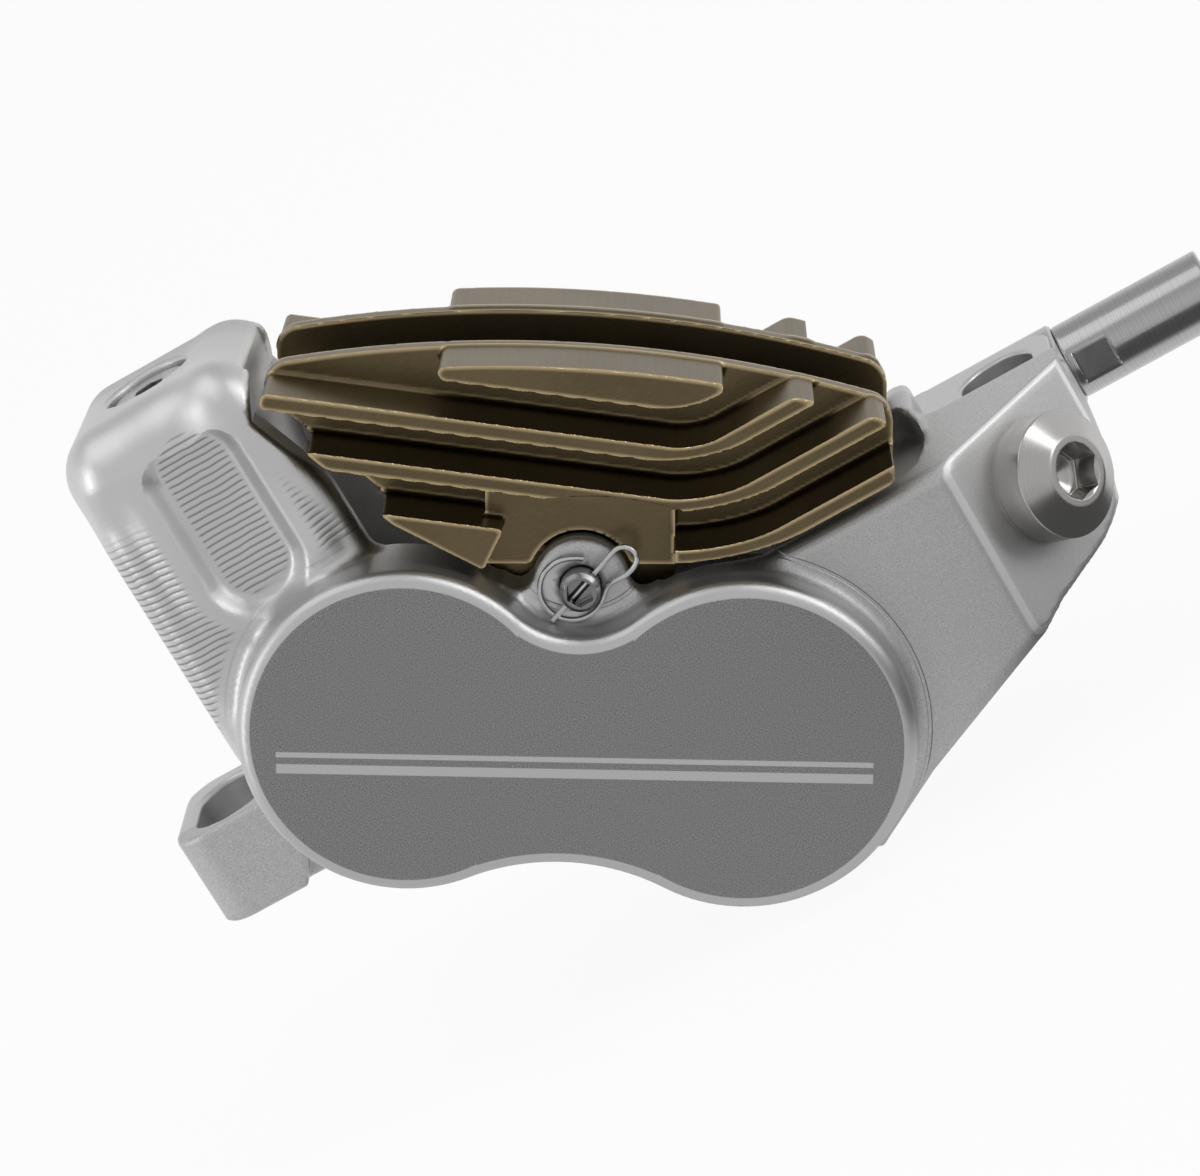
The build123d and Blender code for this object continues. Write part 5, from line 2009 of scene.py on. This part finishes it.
@dataclass(frozen=True)
class Studio:
    """Floor, lights, world and the camera at the photograph's angle."""

    focal_mm: float = 139.5
    azimuth: float = 9.89
    elevation: float = 14.947
    roll: float = 31.214
    target: Point3 = (2.14, 0.0, 12.896)
    distance: float = 374.404
    floor_z: float = -15.2
    card_shade: float = 0.9
    front_glow: float = 0.62
    front_level: float = 0.85
    back_level: float = 1.05
    high_level: float = 0.62
    floor_half: float = 4.0
    floor_weight: float = 0.92

    def camera(self) -> Object:
        """Make the camera.

        Returns:
            Its object.
        """
        a, e, roll = (math.radians(v) for v in (self.azimuth, self.elevation, self.roll))
        back = Vector((math.sin(a) * math.cos(e), -math.cos(a) * math.cos(e), math.sin(e)))
        right = Vector((math.cos(a), math.sin(a), 0.0))
        up = back.cross(right)
        turned_right = right * math.cos(roll) - up * math.sin(roll)
        turned_up = right * math.sin(roll) + up * math.cos(roll)
        data = bpy.data.cameras.new("camera")
        data.lens, data.sensor_width = self.focal_mm, 36.0
        data.clip_start, data.clip_end = 0.01, 20.0
        made = linked("camera", data)
        turn = Matrix((turned_right, turned_up, back)).transposed().to_4x4()
        place = (Vector(self.target) + back * self.distance) * MM
        made.matrix_world = Matrix.Translation(place) @ turn
        bpy.context.scene.camera = made
        return made

    def floor(self) -> Object:
        """Make the pale floor.

        Returns:
            Its object.
        """
        mesh = bpy.data.meshes.new("floor")
        half, z = self.floor_half, self.floor_z * MM
        mesh.from_pydata([(-half, -half, z), (half, -half, z), (half, half, z), (-half, half, z)],
                         [], [(0, 1, 2, 3)])
        material = bpy.data.materials.new("floor_white")
        material.use_nodes = True
        material.node_tree.nodes.clear()
        g = Nodes(material.node_tree)
        x, y, _ = g.split(g.node("ShaderNodeTexCoord").outputs["Object"])
        rays = g.node("ShaderNodeLightPath").outputs
        card = g.times(g.blend(x, 0.026, 0.036), g.blend(x, 0.100, 0.085),
                       g.blend(y, 0.020, 0.011), g.blend(y, -0.10, -0.07))
        glow = g.times(g.blend(y, -0.03, 0.06, self.front_glow, 0.95),
                       g.math("MULTIPLY_ADD", card, -self.card_shade, 1.0))
        emission = g.node("ShaderNodeEmission")
        g.feed(emission.inputs["Strength"], g.level(rays["Is Camera Ray"], glow, 1.0))
        mirrored = g.math("MAXIMUM", rays["Is Glossy Ray"], rays["Is Transmission Ray"])
        seen = g.math("ADD", rays["Is Camera Ray"], mirrored, clamp=True)
        matt = g.node("ShaderNodeBsdfDiffuse", (0.88, 0.88, 0.88, 1))
        share = g.node("ShaderNodeMixShader", g.times(seen, self.floor_weight), matt.outputs[0],
                       emission.outputs[0])
        g.node("ShaderNodeOutputMaterial", share.outputs[0])
        mesh.materials.append(material)
        made = linked("floor", mesh)
        return made

    def world(self) -> None:
        """Make the world: white to the eye, a studio gradient to the metal."""
        world = bpy.data.worlds.new("studio")
        bpy.context.scene.world = world
        world.use_nodes = True
        world.node_tree.nodes.clear()
        g = Nodes(world.node_tree)
        _, y, z = g.split(g.node("ShaderNodeTexCoord").outputs["Generated"])
        level = g.level(g.blend(z, 0.3, 0.9),
                        g.blend(y, -0.6, 0.4, self.front_level, self.back_level), self.high_level)
        back = g.node("ShaderNodeBackground")
        seen = g.node("ShaderNodeLightPath").outputs["Is Camera Ray"]
        g.feed(back.inputs["Strength"], g.level(seen, level, 1.0))
        g.node("ShaderNodeOutputWorld", back.outputs[0])

    def lamp(self, name: str, place: Point3, size: Point2, power: float) -> None:
        """Add a soft box aimed at the caliper.

        Args:
            name: Its name.
            place: Its place in metres.
            size: Width and height in metres.
            power: Watts.
        """
        data = bpy.data.lights.new(name, "AREA")
        data.shape, data.size, data.size_y, data.energy = "RECTANGLE", *size, power
        made = linked(name, data)
        made.location = place
        aim = Vector((0.0, 0.0, 0.015)) - Vector(place)
        made.rotation_euler = aim.to_track_quat("-Z", "Y").to_euler()

    def build(self) -> None:
        """Set up the whole studio."""
        self.camera()
        self.floor()
        self.world()
        self.lamp("top_box", (-0.10, -0.10, 0.60), (0.55, 0.40), 0.45)
        self.lamp("left_strip", (-0.55, -0.25, 0.25), (0.12, 0.60), 0.6)
        self.lamp("right_strip", (0.55, -0.15, 0.30), (0.12, 0.60), 0.8)
        bpy.context.scene.view_settings.view_transform = "Standard"


def main() -> None:
    """Build the dressed caliper in order."""
    logging.basicConfig(level=logging.INFO, format="%(message)s")
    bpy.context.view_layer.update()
    for part in (Studio(), CaliperBody(), BrakePads(), Rings(), PortPlug(), HoseEnd(),
                 BleedScrew(), RetainingPin(), BoreCaps()):
        part.build()


if __name__ == "__main__":
    main()
